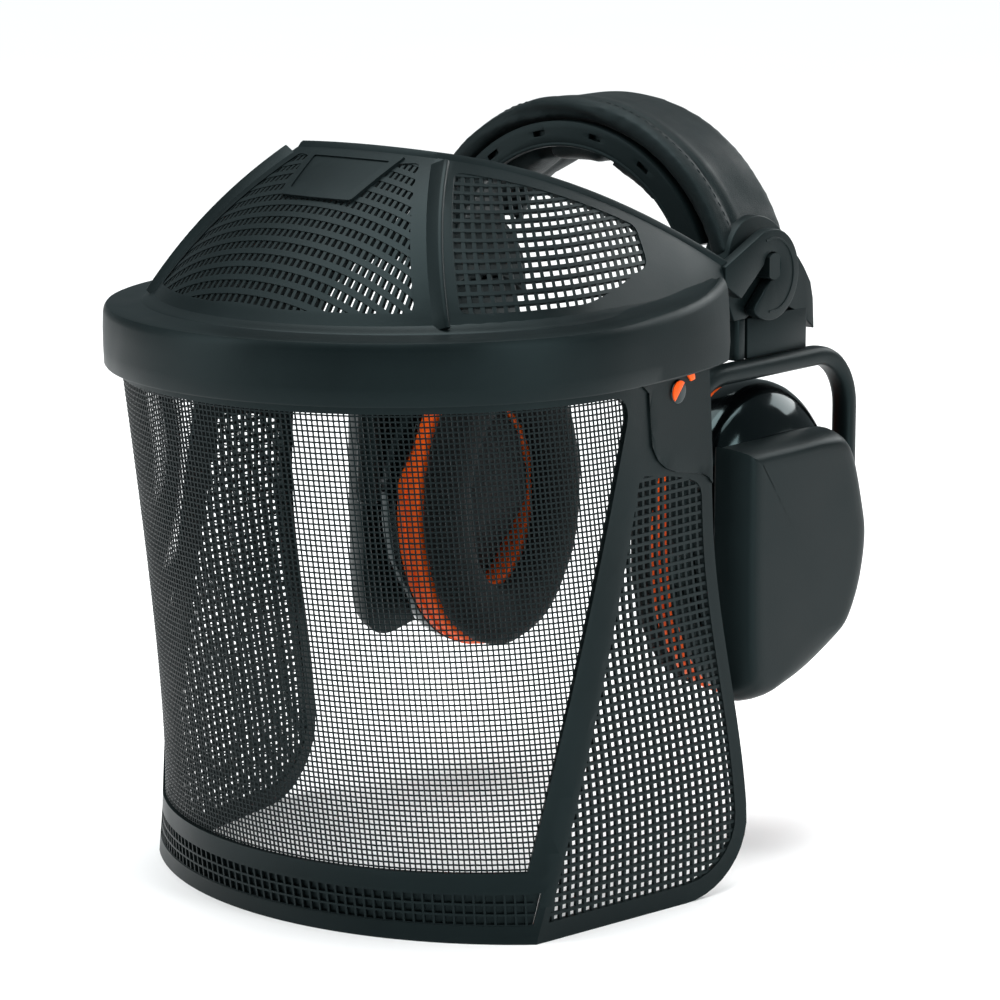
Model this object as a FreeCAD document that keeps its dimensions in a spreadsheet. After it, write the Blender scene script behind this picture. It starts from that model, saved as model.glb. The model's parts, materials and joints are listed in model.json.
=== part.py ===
import FreeCAD, Part
import math
import os
import Sketcher

# Face and ear protector for forestry work: a padded headband with a vented brow
# guard, a peak, a mesh face visor and a pair of ear cups on sliding yokes.
# Millimetres, +Z up, +X to the wearer's left, the face looks along -Y.
# The origin is the crown point, where the headband pads rest on top of the head,
# straight above the line through the two visor hinges.

Vec = FreeCAD.Vector
Rotation = FreeCAD.Rotation
Placement = FreeCAD.Placement

doc = FreeCAD.newDocument("face_and_ear_protector")
sheet = doc.addObject("Spreadsheet::Sheet", "Dimensions")
sheet.Label = "Dimensions"

DIMENSIONS = [
    # headband, an arch about a line along Y
    ("arch_drop", 49.0, "arch centre below the crown point"),
    ("cover_outer", 73.0, "outer radius of the padded sleeve"),
    ("cover_inner", 64.4, "inner radius of the padded sleeve"),
    ("cover_width", 41.0, "width of the sleeve along Y"),
    ("cover_round", 3.6, "rounding of the sleeve's long edges"),
    ("band_angle", 124.0, "opening angle of the arch"),
    ("spring_outer", 69.6, "outer radius of the spring strip"),
    ("spring_inner", 68.4, "inner radius of the spring strip"),
    ("spring_width", 24.0, "width of the spring strip"),
    ("frame_outer", 64.2, "outer radius of the inner frame"),
    ("frame_web", 61.8, "inner radius of the frame's web"),
    ("frame_lip", 55.5, "inner radius of the frame's two lips"),
    ("frame_width", 38.0, "width of the inner frame"),
    ("lip_thick", 2.0, "thickness of a lip"),
    ("vent_long", 5.4, "length of a lip vent"),
    ("vent_tall", 2.0, "height of a lip vent"),
    ("vent_radius", 60.2, "radius of the row of lip vents"),
    ("pad_outer", 61.5, "outer radius of a head pad"),
    ("pad_inner", 49.0, "inner radius of a head pad, at the crown point"),
    ("pad_width", 32.0, "width of a head pad"),
    ("pad_round", 5.0, "rounding of a head pad"),
    ("pad_angle", 27.0, "angle that one head pad covers"),
    ("pad_pitch", 30.0, "angle from pad to pad"),
    # visor hinge
    ("hinge_drop", 32.0, "hinge axis below the crown point"),
    ("hub_drop", 35.0, "centre of the hub disc below the crown point"),
    ("hub_radius", 16.0, "radius of the hub disc"),
    ("hub_near", 72.0, "inner face of the hub disc, along X"),
    ("hub_thick", 4.2, "thickness of the hub disc"),
    ("peg_radius", 4.6, "radius of the hinge peg"),
    ("peg_flat", 6.2, "width across the peg's flats"),
    ("peg_proud", 1.0, "peg standing out of the hub disc"),
    ("peg_gap", 0.06, "running clearance round the peg"),
    # hinge housing
    ("housing_near", 56.0, "inner face of the housing, along X"),
    ("housing_far", 71.4, "outer face of the housing, along X"),
    ("housing_front", -19.0, "front edge of the housing, along Y"),
    ("housing_back", 33.0, "rear corner of the housing, along Y"),
    ("housing_low", -58.0, "bottom of the housing's rear corner"),
    ("tongue_near", 64.0, "inner face of the slider tongue"),
    ("tongue_thick", 3.0, "thickness of the slider tongue"),
    ("tongue_width", 16.0, "width of the slider tongue"),
    ("tongue_top", -22.0, "top of the slider tongue"),
    ("tongue_gap", 0.4, "clearance round the tongue"),
    ("cup_y", 4.0, "ear cup centre along Y"),
    ("cup_z", -130.0, "ear cup centre along Z"),
    ("block_near", 62.0, "inner face of the slider block"),
    ("block_far", 71.4, "outer face of the slider block"),
    ("block_width", 44.0, "width of the slider block"),
    ("block_top", -46.0, "top of the slider block"),
    ("block_low", -64.2, "bottom of the slider block"),
    ("block_gap", 0.8, "gap between the slider block and the housing's arched edge"),
    # yoke
    ("yoke_near", 67.0, "inner face of the yoke, along X"),
    ("yoke_thick", 8.5, "thickness of the yoke along X"),
    ("yoke_bar", 7.0, "height of the yoke's bar"),
    ("yoke_half", 52.4, "half width of the yoke, outside"),
    ("yoke_top", -64.2, "top of the yoke"),
    ("yoke_round", 24.0, "outer corner radius of the yoke"),
    ("pivot_x", 71.2, "tilt axis of the ear cup, along X"),
    ("pivot_z", -122.0, "tilt axis of the ear cup, along Z"),
    ("pivot_radius", 2.5, "radius of a tilt pin"),
    ("pivot_gap", 0.06, "running clearance round a tilt pin"),
    # ear cup, a stack of pieces along X
    ("cushion_near", 40.0, "head side of the ear cushion"),
    ("plate_near", 53.0, "head side of the back plate"),
    ("plate_far", 63.0, "outer side of the back plate"),
    ("shell_far", 80.0, "outer side of the cup shell"),
    ("cover_far", 93.0, "outer side of the cup cover"),
    ("cup_half_y", 43.0, "half width of the ear cup"),
    ("cup_half_z", 56.0, "half height of the ear cup"),
    ("ear_half_y", 23.0, "half width of the ear opening"),
    ("ear_half_z", 35.0, "half height of the ear opening"),
    ("shell_wall", 2.6, "wall of the cup shell"),
    # brow guard and peak
    ("round_y", -109.0, "centre of the visor's front round, along Y"),
    ("guard_radius", 84.0, "radius of the guard's base"),
    ("guard_base", -37.5, "height of the guard's base"),
    ("guard_top", 13.6, "height of the guard's front top edge"),
    ("guard_wall", 2.4, "wall of the brow guard"),
    ("ridge_at", 0.325, "share of the base outline at which a ridge starts"),
    ("ridge_x", 30.0, "ridge top from the middle"),
    ("ridge_y", -124.0, "ridge top along Y"),
    ("peak_radius", 100.0, "outer radius of the peak"),
    ("peak_wall", 2.5, "wall of the peak"),
    ("peak_top", -38.0, "top edge of the peak's wall"),
    ("peak_low", -58.5, "bottom edge of the peak's wall"),
    # visor
    ("visor_low", -240.0, "bottom rim of the visor"),
    ("visor_wall", 2.0, "wall of the visor frame"),
    ("mesh_wall", 0.9, "thickness of the mesh"),
    ("window_border", 9.0, "width of the border beside the mesh window"),
    ("window_drop", 9.0, "top of the mesh window below the top of the visor"),
    ("rim_height", 24.0, "height of the bottom border"),
    ("rear_corner", 28.0, "radius of a wing's bottom rear corner"),
    ("knob_y", -80.0, "lock knob along Y"),
    ("knob_z", -63.6, "lock knob along Z"),
    ("knob_radius", 4.1, "radius of a lock knob"),
    ("knob_gap", 0.08, "running clearance round a lock knob"),
    ("neck_radius", 3.0, "radius of the knob's neck"),
    ("key_half", 6.0, "half length of the knob's cross key"),
    ("lug_far", 91.5, "outer face of the peak's lug, along X"),
    ("lug_thick", 2.5, "thickness of the lug"),
    ("lug_half", 8.0, "half width of the lug"),
    ("lug_low", -71.5, "bottom of the lug"),
    ("mark_y", -79.5, "front end of the lock mark, along Y"),
    ("mark_z", -58.9, "bottom of the lock mark"),
    ("mark_long", 4.5, "length of the lock mark"),
    ("mark_tall", 2.4, "height of the lock mark"),
]

for line, (alias, number, meaning) in enumerate(DIMENSIONS, start=1):
    sheet.set(f"A{line}", alias)
    sheet.set(f"B{line}", str(number))
    sheet.set(f"C{line}", meaning)
    sheet.setAlias(f"B{line}", alias)
doc.recompute()

nodes = {}


def size(alias):
    """The number in the sheet under this alias."""
    return float(getattr(sheet, alias))


def bind(obj, **expressions):
    """Tie properties of an object to the sheet; D.name is short for a cell."""
    for prop, expression in expressions.items():
        obj.setExpression(prop, expression.replace("D.", "Dimensions."))


def keep(obj, label):
    """Name a finished piece; it is written out under this label."""
    obj.Label = label
    nodes[label] = obj
    return obj


def placed(obj, x="0", y="0", z="0"):
    """Bind the three coordinates of an object's placement."""
    for axis, expression in zip("xyz", (x, y, z)):
        obj.setExpression(f".Placement.Base.{axis}", expression.replace("D.", "Dimensions."))
    return obj


def mirrored(source, label):
    """The right-hand twin of a left-hand piece."""
    twin = doc.addObject("Part::Mirroring", label)
    twin.Source = source
    twin.Base = Vec(0, 0, 0)
    twin.Normal = Vec(1, 0, 0)
    return keep(twin, label)


def box(name, x, y, z, length, width, height):
    """A bound box: its low corner and its three sides are expressions."""
    piece = doc.addObject("Part::Box", name)
    bind(piece, Length=length, Width=width, Height=height)
    return placed(piece, x, y, z)


def rod(name, radius, height, x, y, z, axis, angle):
    """A bound cylinder, turned about an axis by an angle."""
    piece = doc.addObject("Part::Cylinder", name)
    piece.Placement.Rotation = Rotation(axis, angle)
    bind(piece, Radius=radius, Height=height)
    return placed(piece, x, y, z)


def cut(name, base, tool):
    piece = doc.addObject("Part::Cut", name)
    piece.Base = base
    piece.Tool = tool
    return piece


def common(name, base, tool):
    piece = doc.addObject("Part::Common", name)
    piece.Base = base
    piece.Tool = tool
    return piece


def fused(name, *pieces):
    piece = doc.addObject("Part::MultiFuse", name)
    piece.Shapes = list(pieces)
    return piece


def origin_plane(body, role):
    return next(item for item in body.Origin.OriginFeatures if item.Role == role)


def sketch_on(body, name, role):
    """A new sketch on one of the body's own origin planes."""
    sketch = body.newObject("Sketcher::SketchObject", name)
    sketch.AttachmentSupport = [(origin_plane(body, role), "")]
    sketch.MapMode = "FlatFace"
    return sketch


def rounded_rectangle(sketch, half_wide, half_tall, radius, x="0 mm", y="0 mm"):
    """A rounded rectangle about a centre, its five sizes bound to expressions."""
    wide, tall, corner = 20.0, 12.0, 3.0
    first = sketch.GeometryCount
    ends = [
        (Vec(-wide + corner, -tall, 0), Vec(wide - corner, -tall, 0)),
        (Vec(wide, -tall + corner, 0), Vec(wide, tall - corner, 0)),
        (Vec(wide - corner, tall, 0), Vec(-wide + corner, tall, 0)),
        (Vec(-wide, tall - corner, 0), Vec(-wide, -tall + corner, 0)),
    ]
    centres = [
        Vec(wide - corner, -tall + corner, 0),
        Vec(wide - corner, tall - corner, 0),
        Vec(-wide + corner, tall - corner, 0),
        Vec(-wide + corner, -tall + corner, 0),
    ]
    for start, end in ends:
        sketch.addGeometry(Part.LineSegment(start, end))
    for turn, centre in enumerate(centres):
        circle = Part.Circle(centre, Vec(0, 0, 1), corner)
        begin = -math.pi / 2 + turn * math.pi / 2
        sketch.addGeometry(Part.ArcOfCircle(circle, begin, begin + math.pi / 2))
    add = sketch.addConstraint
    for turn in range(4):
        side, arc, after = first + turn, first + 4 + turn, first + (turn + 1) % 4
        add(Sketcher.Constraint("Tangent", side, 2, arc, 1))
        add(Sketcher.Constraint("Tangent", arc, 2, after, 1))
        add(Sketcher.Constraint("Horizontal" if turn % 2 == 0 else "Vertical", side))
        if turn:
            add(Sketcher.Constraint("Equal", first + 4, arc))
    bound = [
        (Sketcher.Constraint("Radius", first + 4, corner), radius),
        (Sketcher.Constraint("DistanceX", first + 3, 1, first + 1, 1, 2 * wide), f"2 * ({half_wide})"),
        (Sketcher.Constraint("DistanceY", first, 1, first + 2, 1, 2 * tall), f"2 * ({half_tall})"),
        (Sketcher.Constraint("DistanceX", -1, 1, first + 1, 1, wide), f"({x}) + ({half_wide})"),
        (Sketcher.Constraint("DistanceY", -1, 1, first + 2, 1, tall), f"({y}) + ({half_tall})"),
    ]
    for constraint, expression in bound:
        number = add(constraint)
        sketch.setExpression(f"Constraints[{number}]", expression.replace("D.", "Dimensions."))


def ring_body(name, inner, outer, half, rounding, angle):
    """A rounded section turned about the arch's own line, symmetric about the top."""
    body = doc.addObject("PartDesign::Body", name)
    section = sketch_on(body, f"{name}_section", "XY_Plane")
    middle = f"(({inner}) + ({outer})) / 2"
    rounded_rectangle(section, f"(({outer}) - ({inner})) / 2", half, rounding, x=middle)
    turned = body.newObject("PartDesign::Revolution", f"{name}_turn")
    turned.Profile = section
    turned.ReferenceAxis = (section, ["V_Axis"])
    turned.Midplane = True
    bind(turned, Angle=angle)
    body.Tip = turned
    return body


def on_arch(body, lean=0.0):
    """Stand a ring body on the arch centre, leaned to one side in degrees."""
    body.Placement = Placement(Vec(0, 0, 0), Rotation(Vec(0, 1, 0), lean - 90.0))
    return placed(body, z="-D.arch_drop * 1 mm")


def plate_body(name, half_y, half_z, corner, length, x, y, z):
    """A rounded plate in the YZ plane, padded towards +X from x."""
    body = doc.addObject("PartDesign::Body", name)
    outline = sketch_on(body, f"{name}_outline", "YZ_Plane")
    rounded_rectangle(outline, half_y, half_z, corner)
    pad = body.newObject("PartDesign::Pad", f"{name}_pad")
    pad.Profile = outline
    bind(pad, Length=length)
    body.Tip = pad
    return placed(body, x, y, z)


def wire_of(points):
    """A closed wire of straight edges through the points."""
    return Part.makePolygon(points + [points[0]])


# ---------------------------------------------------------------- headband
cover = ring_body("cover_ring", "D.cover_inner * 1 mm", "D.cover_outer * 1 mm",
                  "D.cover_width / 2 * 1 mm", "D.cover_round * 1 mm", "D.band_angle * 1 deg")
on_arch(cover)
hollow = ring_body("cover_hollow", "D.spring_inner * 1 mm - 0.1 mm", "D.spring_outer * 1 mm + 0.1 mm",
                   "D.spring_width / 2 * 1 mm + 0.1 mm", "0.3 mm", "D.band_angle * 1 deg")
on_arch(hollow)
keep(cut("headband_cover", cover, hollow), "headband_cover")

spring = ring_body("headband_spring", "D.spring_inner * 1 mm", "D.spring_outer * 1 mm",
                   "D.spring_width / 2 * 1 mm", "0.3 mm", "D.band_angle * 1 deg")
keep(on_arch(spring), "headband_spring")

frame_ring = ring_body("frame_ring", "D.frame_lip * 1 mm", "D.frame_outer * 1 mm",
                       "D.frame_width / 2 * 1 mm", "0.8 mm", "D.band_angle * 1 deg")
on_arch(frame_ring)
channel = ring_body("frame_channel", "D.frame_lip * 1 mm - 4 mm", "D.frame_web * 1 mm",
                    "(D.frame_width / 2 - D.lip_thick) * 1 mm", "0.5 mm", "D.band_angle * 1 deg + 8 deg")
on_arch(channel)
vents = []
for turn in (-52, -34, -12, 12, 34, 52):
    vent = doc.addObject("Part::Box", f"lip_vent_{len(vents) + 1}")
    bind(vent, Length="D.vent_long * 1 mm", Width="D.frame_width * 1.2 mm", Height="D.vent_tall * 1 mm")
    lean = Rotation(Vec(0, 1, 0), turn)
    corner = lean.multVec(Vec(-size("vent_long") / 2, 0, size("vent_radius") - size("vent_tall") / 2))
    vent.Placement = Placement(Vec(corner.x, -size("frame_width") * 0.6, corner.z - size("arch_drop")), lean)
    vents.append(vent)
keep(cut("headband_frame", frame_ring, fused("frame_clearance", channel, *vents)), "headband_frame")

for number, label in enumerate(("right_head_pad", "centre_head_pad", "left_head_pad")):
    pad = ring_body(label, "D.pad_inner * 1 mm", "D.pad_outer * 1 mm", "D.pad_width / 2 * 1 mm",
                    "D.pad_round * 1 mm", "D.pad_angle * 1 deg")
    on_arch(pad, lean=(number - 1) * size("pad_pitch"))
    keep(pad, label)

# ---------------------------------------------------------------- hinge housings
# The boot is the overlap of a side outline, cut along X, and a front profile, cut along Y.
arch_z = -size("arch_drop")
end_angle = math.radians(size("band_angle") / 2)


def on_end_plane(radius):
    """A point of the arch's end plane at this radius, as X and Z."""
    return radius * math.sin(end_angle), arch_z + radius * math.cos(end_angle)


top_out_x, top_out_z = on_end_plane(size("cover_outer") + 1.0)
top_in_x, top_in_z = on_end_plane(size("frame_lip") - 1.0)
near, far, low = size("housing_near"), size("housing_far"), size("housing_low")
profile = [
    Vec(top_in_x, 0, top_in_z),
    Vec(top_out_x, 0, top_out_z),
    Vec(far - 1.5, 0, -27.0),
    Vec(far, 0, -34.0),
    Vec(far, 0, low),
    Vec(near + 4.0, 0, low),
    Vec(near, 0, -44.0),
]
front, back = size("housing_front"), size("housing_back")
side = Part.Wire([
    Part.LineSegment(Vec(0, front, -6.0), Vec(0, 21.0, -6.0)).toShape(),
    Part.LineSegment(Vec(0, 21.0, -6.0), Vec(0, 21.5, -22.0)).toShape(),
    Part.LineSegment(Vec(0, 21.5, -22.0), Vec(0, 31.0, -42.0)).toShape(),
    Part.LineSegment(Vec(0, 31.0, -42.0), Vec(0, back, low)).toShape(),
    Part.Arc(Vec(0, back, low), Vec(0, 12.0, -46.5), Vec(0, -9.0, -50.0)).toShape(),
    Part.LineSegment(Vec(0, -9.0, -50.0), Vec(0, front + 3.0, -50.0)).toShape(),
    Part.LineSegment(Vec(0, front + 3.0, -50.0), Vec(0, front, -40.0)).toShape(),
    Part.LineSegment(Vec(0, front, -40.0), Vec(0, front, -6.0)).toShape(),
])
side_block = Part.Face(side).extrude(Vec(90, 0, 0))
front_block = Part.Face(wire_of(profile)).extrude(Vec(0, 80, 0))
front_block.translate(Vec(0, -30, 0))
boot_shape = side_block.common(front_block)
round_edges = [edge for edge in boot_shape.Edges
               if edge.Length > 8.0 and edge.BoundBox.XMin > far - 1.0]
boot = doc.addObject("Part::Feature", "housing_boot")
boot.Shape = boot_shape.makeFillet(1.2, round_edges)

tongue_slot = box("tongue_slot", "(D.tongue_near - D.tongue_gap) * 1 mm",
                  "(D.cup_y - D.tongue_width / 2 - D.tongue_gap) * 1 mm", "-70 mm",
                  "(D.tongue_thick + 2 * D.tongue_gap) * 1 mm",
                  "(D.tongue_width + 2 * D.tongue_gap) * 1 mm",
                  "(70 + D.tongue_top + D.tongue_gap) * 1 mm")
peg_hole = rod("peg_hole", "D.peg_radius * 1 mm", "30 mm", "D.housing_near * 1 mm + 12 mm", "0 mm",
               "-D.hinge_drop * 1 mm", Vec(0, 1, 0), 90)
housing = keep(cut("left_hinge_housing", boot, fused("housing_holes", tongue_slot, peg_hole)),
               "left_hinge_housing")
mirrored(housing, "right_hinge_housing")

# A round root in the housing, and two flats where it stands in the hub disc.
peg_root = rod("peg_root", "D.peg_radius * 1 mm", "D.hub_near * 1 mm - D.housing_near * 1 mm - 12 mm",
               "D.housing_near * 1 mm + 12 mm", "0 mm", "-D.hinge_drop * 1 mm", Vec(0, 1, 0), 90)
peg_head = rod("peg_head", "D.peg_radius * 1 mm", "(D.hub_thick + D.peg_proud) * 1 mm",
               "D.hub_near * 1 mm", "0 mm", "-D.hinge_drop * 1 mm", Vec(0, 1, 0), 90)
peg_flats = box("peg_flats", "D.hub_near * 1 mm", "-D.peg_flat / 2 * 1 mm", "-D.hinge_drop * 1 mm - 8 mm",
                "12 mm", "D.peg_flat * 1 mm", "16 mm")
peg = keep(fused("left_hinge_peg", peg_root, common("peg_oval", peg_head, peg_flats)), "left_hinge_peg")
mirrored(peg, "right_hinge_peg")

# ---------------------------------------------------------------- brow guard
round_y = size("round_y")
wall = size("guard_wall")


def outline_point(radius, along, height, taper=10.0, rear=-20.0):
    """A point of a U outline: a half circle at the front, then sides drawn in to the rear.

    along runs from -1 at the right rear, through 0 at the front, to 1 at the left rear.
    """
    quarter = math.pi / 2 * radius
    straight = rear - round_y
    reach = abs(along) * (quarter + straight)
    sign = 1.0 if along >= 0 else -1.0
    if reach <= quarter:
        angle = reach / radius
        return Vec(sign * radius * math.sin(angle), round_y - radius * math.cos(angle), height)
    share = (reach - quarter) / straight
    return Vec(sign * (radius - taper * share ** 3), round_y + share * straight, height)


def guard_top_point(share):
    """A point of the guard's side top edge, from the ridge (0) to the hub (1)."""
    ridge = Vec(size("ridge_x"), size("ridge_y"), size("guard_top"))
    end = Vec(74.5, -24.0, -29.5)
    mid = Vec(53.0, -74.0, 2.5)
    a = (1 - share) ** 2
    b = 2 * share * (1 - share)
    c = share ** 2
    control = (mid - ridge * 0.25 - end * 0.25) * 2.0
    return ridge * a + control * b + end * c


def shell_section(base, top, bulge, thick, inward):
    """A closed strip of wall from base to top, crowned by bulge, thick inwards."""
    middle = (base + top) * 0.5 - inward * bulge
    step = inward * thick
    outer = Part.BSplineCurve()
    outer.interpolate([base, middle, top])
    inner = Part.BSplineCurve()
    inner.interpolate([top + step, middle + step, base + step])
    return Part.Wire([
        outer.toShape(),
        Part.LineSegment(top, top + step).toShape(),
        inner.toShape(),
        Part.LineSegment(base + step, base).toShape(),
    ])


def inward_of(base, top):
    """Level direction from a section towards the middle of the head, with some drop."""
    middle = (base + top) * 0.5
    flat = Vec(-middle.x, max(round_y - middle.y, 0.0), 0)
    flat.normalize()
    across = Vec(flat.x, flat.y, -0.55)
    across.normalize()
    return across


guard_base = size("guard_base")
guard_radius = size("guard_radius")
ridge_at, hub_at = size("ridge_at"), 0.985
front_sections = []
for share in (-1.0, -0.5, 0.0, 0.5, 1.0):
    base = outline_point(guard_radius, share * ridge_at, guard_base)
    top = Vec(share * size("ridge_x"), size("ridge_y") - 2.5 * (1 - share * share),
              size("guard_top") + 1.0 * (1 - share * share))
    inward = Vec(0, 0.80, -0.60)
    front_sections.append(shell_section(base, top, 5.0, wall, inward))
front_panel = Part.makeLoft(front_sections, True, False)
side_sections = []
for share in (0.0, 0.25, 0.5, 0.75, 1.0):
    base = outline_point(guard_radius, ridge_at + share * (hub_at - ridge_at), guard_base)
    top = guard_top_point(share)
    bulge = 5.0 - 4.5 * share
    inward = Vec(0, 0.80, -0.60) * (1 - share) + inward_of(base, top) * share
    inward.normalize()
    side_sections.append(shell_section(base, top, bulge, wall, inward))
left_panel = Part.makeLoft(side_sections, True, False)
right_panel = left_panel.mirror(Vec(0, 0, 0), Vec(1, 0, 0))
guard = doc.addObject("Part::Feature", "brow_guard")
guard.Shape = front_panel.fuse([left_panel, right_panel]).removeSplitter()
keep(guard, "brow_guard")

# ---------------------------------------------------------------- hubs of the visor carrier
hub_near, hub_thick = size("hub_near"), size("hub_thick")
hub_disc = rod("hub_disc", "D.hub_radius * 1 mm", "D.hub_thick * 1 mm", "D.hub_near * 1 mm", "0 mm",
               "-D.hub_drop * 1 mm", Vec(0, 1, 0), 90)
arm = doc.addObject("Part::Feature", "hub_arm")
arm.Shape = Part.Face(wire_of([
    Vec(hub_near, -8.0, -21.0),
    Vec(hub_near, -27.5, -29.5),
    Vec(hub_near, -27.5, -36.0),
    Vec(hub_near, -10.0, -46.0),
    Vec(hub_near, 0.0, -40.0),
])).extrude(Vec(hub_thick, 0, 0))
hub_bore = rod("hub_bore", "(D.peg_radius + D.peg_gap) * 1 mm", "12 mm", "D.hub_near * 1 mm - 4 mm", "0 mm",
               "-D.hinge_drop * 1 mm", Vec(0, 1, 0), 90)
hub_mouth = doc.addObject("Part::Box", "hub_mouth")
bind(hub_mouth, Length="12 mm", Width="(D.peg_flat + 0.6) * 1 mm", Height="17 mm")
mouth_turn = Rotation(Vec(1, 0, 0), 125)
mouth_corner = mouth_turn.multVec(Vec(0, -(size("peg_flat") + 0.6) / 2, 0))
hub_mouth.Placement = Placement(mouth_corner + Vec(hub_near - 4, 0, -size("hinge_drop")), mouth_turn)
hub = keep(cut("left_hub", fused("hub_blank", hub_disc, arm), fused("hub_holes", hub_bore, hub_mouth, guard)),
           "left_hub")
mirrored(hub, "right_hub")

# ---------------------------------------------------------------- peak
peak_radius, peak_wall = size("peak_radius"), size("peak_wall")
peak_top, peak_low = size("peak_top"), size("peak_low")
peak_sections = []
for step in range(-16, 17):
    along = step / 16.0
    rear = max(0.0, abs(along) - 0.55) / 0.45
    rise = 5.0 * rear * rear
    outer = outline_point(peak_radius, along, 0.0, 11.0, -36.0)
    inner = outline_point(guard_radius + 0.4, along, 0.0, 10.0, -36.0)
    gap = inner - outer
    unit = Vec(gap.x, gap.y, 0)
    unit.normalize()
    lift = Vec(0, 0, 1)
    section = [
        outer + lift * (peak_low + rise),
        outer + lift * (peak_top - 2.5 + rise),
        outer + unit * 2.0 + lift * (peak_top + rise),
        inner + lift * (guard_base + 1.2 + rise * 0.4),
        inner + lift * (guard_base - 1.0 + rise * 0.4),
        outer + unit * (peak_wall + 1.2) + lift * (peak_top - 2.4 + rise),
        outer + unit * peak_wall + lift * (peak_top - 4.2 + rise),
        outer + unit * peak_wall + lift * (peak_low + rise),
    ]
    peak_sections.append(wire_of(section))
peak = doc.addObject("Part::Feature", "visor_peak")
peak_shape = Part.makeLoft(peak_sections, True, True)
rear_bevel = Part.Face(wire_of([
    Vec(0, -35.0, peak_top + 8.0),
    Vec(0, -20.0, peak_top + 8.0),
    Vec(0, -20.0, peak_low - 2.0),
    Vec(0, -52.0, peak_low - 2.0),
    Vec(0, -38.0, peak_top),
])).extrude(Vec(240, 0, 0))
rear_bevel.translate(Vec(-120, 0, 0))
peak_pieces = peak_shape.cut([guard.Shape, rear_bevel]).Solids
rim = max(peak_pieces, key=lambda solid: solid.Volume)
lugs = []
for sign in (-1, 1):
    lug = Part.makeBox(size("lug_thick"), 2 * size("lug_half"), peak_top + 0.6 - size("lug_low"))
    lug_x = size("lug_far") - (size("lug_thick") if sign > 0 else 0.0)
    lug.translate(Vec(lug_x if sign > 0 else -lug_x, size("knob_y") - size("lug_half"), size("lug_low")))
    lugs.append(lug)
lug_hole = Part.makeCylinder(size("neck_radius") + size("knob_gap"), 240,
                             Vec(-120, size("knob_y"), size("knob_z")), Vec(1, 0, 0))
peak.Shape = rim.fuse(lugs).cut(lug_hole)
keep(peak, "visor_peak")

# ---------------------------------------------------------------- face visor
visor_top, visor_low = peak_low + 6.0, size("visor_low")
tall = visor_top - visor_low
SHEET_SHARES = (0.0, 0.25, 0.5, 0.75, 1.0)


def crease(share, inset=0.0):
    """The visor's front corner, from the top (0) to the bottom rim (1)."""
    return Vec(95.0 + 6.0 * share - 15.0 * share ** 2 - inset,
               -94.0 - 48.0 * share + inset * 0.4, visor_top - tall * share)


def wing_rear(share, inset=0.0):
    """The rear edge of a wing, from the top (0) to the bottom (1), swept back low down."""
    blend = min(max((share - 0.3) / 0.6, 0.0), 1.0)
    sweep = blend * blend * (3.0 - 2.0 * blend)
    return Vec(93.5 + 10.0 * share - 2.0 * share ** 2 - inset,
               -61.0 + 16.0 * sweep, visor_top - tall * share)


def front_centre(share, inset=0.0):
    """The middle of the visor's front."""
    return Vec(0, -205.0 + 29.5 * share + inset, visor_top - tall * share)


def other_side(point):
    return Vec(-point.x, point.y, point.z)


def front_arc(share):
    """Radius, centre along Y and half angle of the visor's front at one height."""
    corner, middle = crease(share), front_centre(share)
    depth = corner.y - middle.y
    radius = (corner.x ** 2 + depth ** 2) / (2 * depth)
    centre_y = middle.y + radius
    return radius, centre_y, math.atan2(corner.x, centre_y - corner.y)


def ring_sector(share, near_grow, far_grow, edge_margin):
    """A sector about the front's own arc, between two radii, short of the creases."""
    radius, centre_y, half_angle = front_arc(share)
    half_angle -= edge_margin / radius
    height = visor_top - tall * share

    def at(grow, angle):
        reach = radius + grow
        return Vec(reach * math.sin(angle), centre_y - reach * math.cos(angle), height)

    return Part.Wire([
        Part.Arc(at(far_grow, -half_angle), at(far_grow, 0.0), at(far_grow, half_angle)).toShape(),
        Part.LineSegment(at(far_grow, half_angle), at(near_grow, half_angle)).toShape(),
        Part.Arc(at(near_grow, half_angle), at(near_grow, 0.0), at(near_grow, -half_angle)).toShape(),
        Part.LineSegment(at(near_grow, -half_angle), at(far_grow, -half_angle)).toShape(),
    ])


def sector_block(top_share, low_share, near_grow, far_grow, edge_margin):
    """A loft of ring sectors between two heights of the visor."""
    step = (low_share - top_share) / (len(SHEET_SHARES) - 1)
    sections = [ring_sector(top_share + step * count, near_grow, far_grow, edge_margin)
                for count in range(len(SHEET_SHARES))]
    return Part.makeLoft(sections, True, False)


def visor_sheet(thick):
    """Front and both wings as one closed sheet, a lofted U of even wall."""
    sections = []
    for share in SHEET_SHARES:
        outer, inner = crease(share), crease(share, thick)
        rear, rear_in = wing_rear(share), wing_rear(share, thick)
        sections.append(Part.Wire([
            Part.LineSegment(other_side(rear), other_side(outer)).toShape(),
            Part.Arc(other_side(outer), front_centre(share), outer).toShape(),
            Part.LineSegment(outer, rear).toShape(),
            Part.LineSegment(rear, rear_in).toShape(),
            Part.LineSegment(rear_in, inner).toShape(),
            Part.Arc(inner, front_centre(share, thick), other_side(inner)).toShape(),
            Part.LineSegment(other_side(inner), other_side(rear_in)).toShape(),
            Part.LineSegment(other_side(rear_in), other_side(rear)).toShape(),
        ]))
    return Part.makeLoft(sections, True, False)


window_border = size("window_border")
window_top = size("window_drop") / tall
window_low = 1.0 - size("rim_height") / tall
mesh_gap = 0.1


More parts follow.
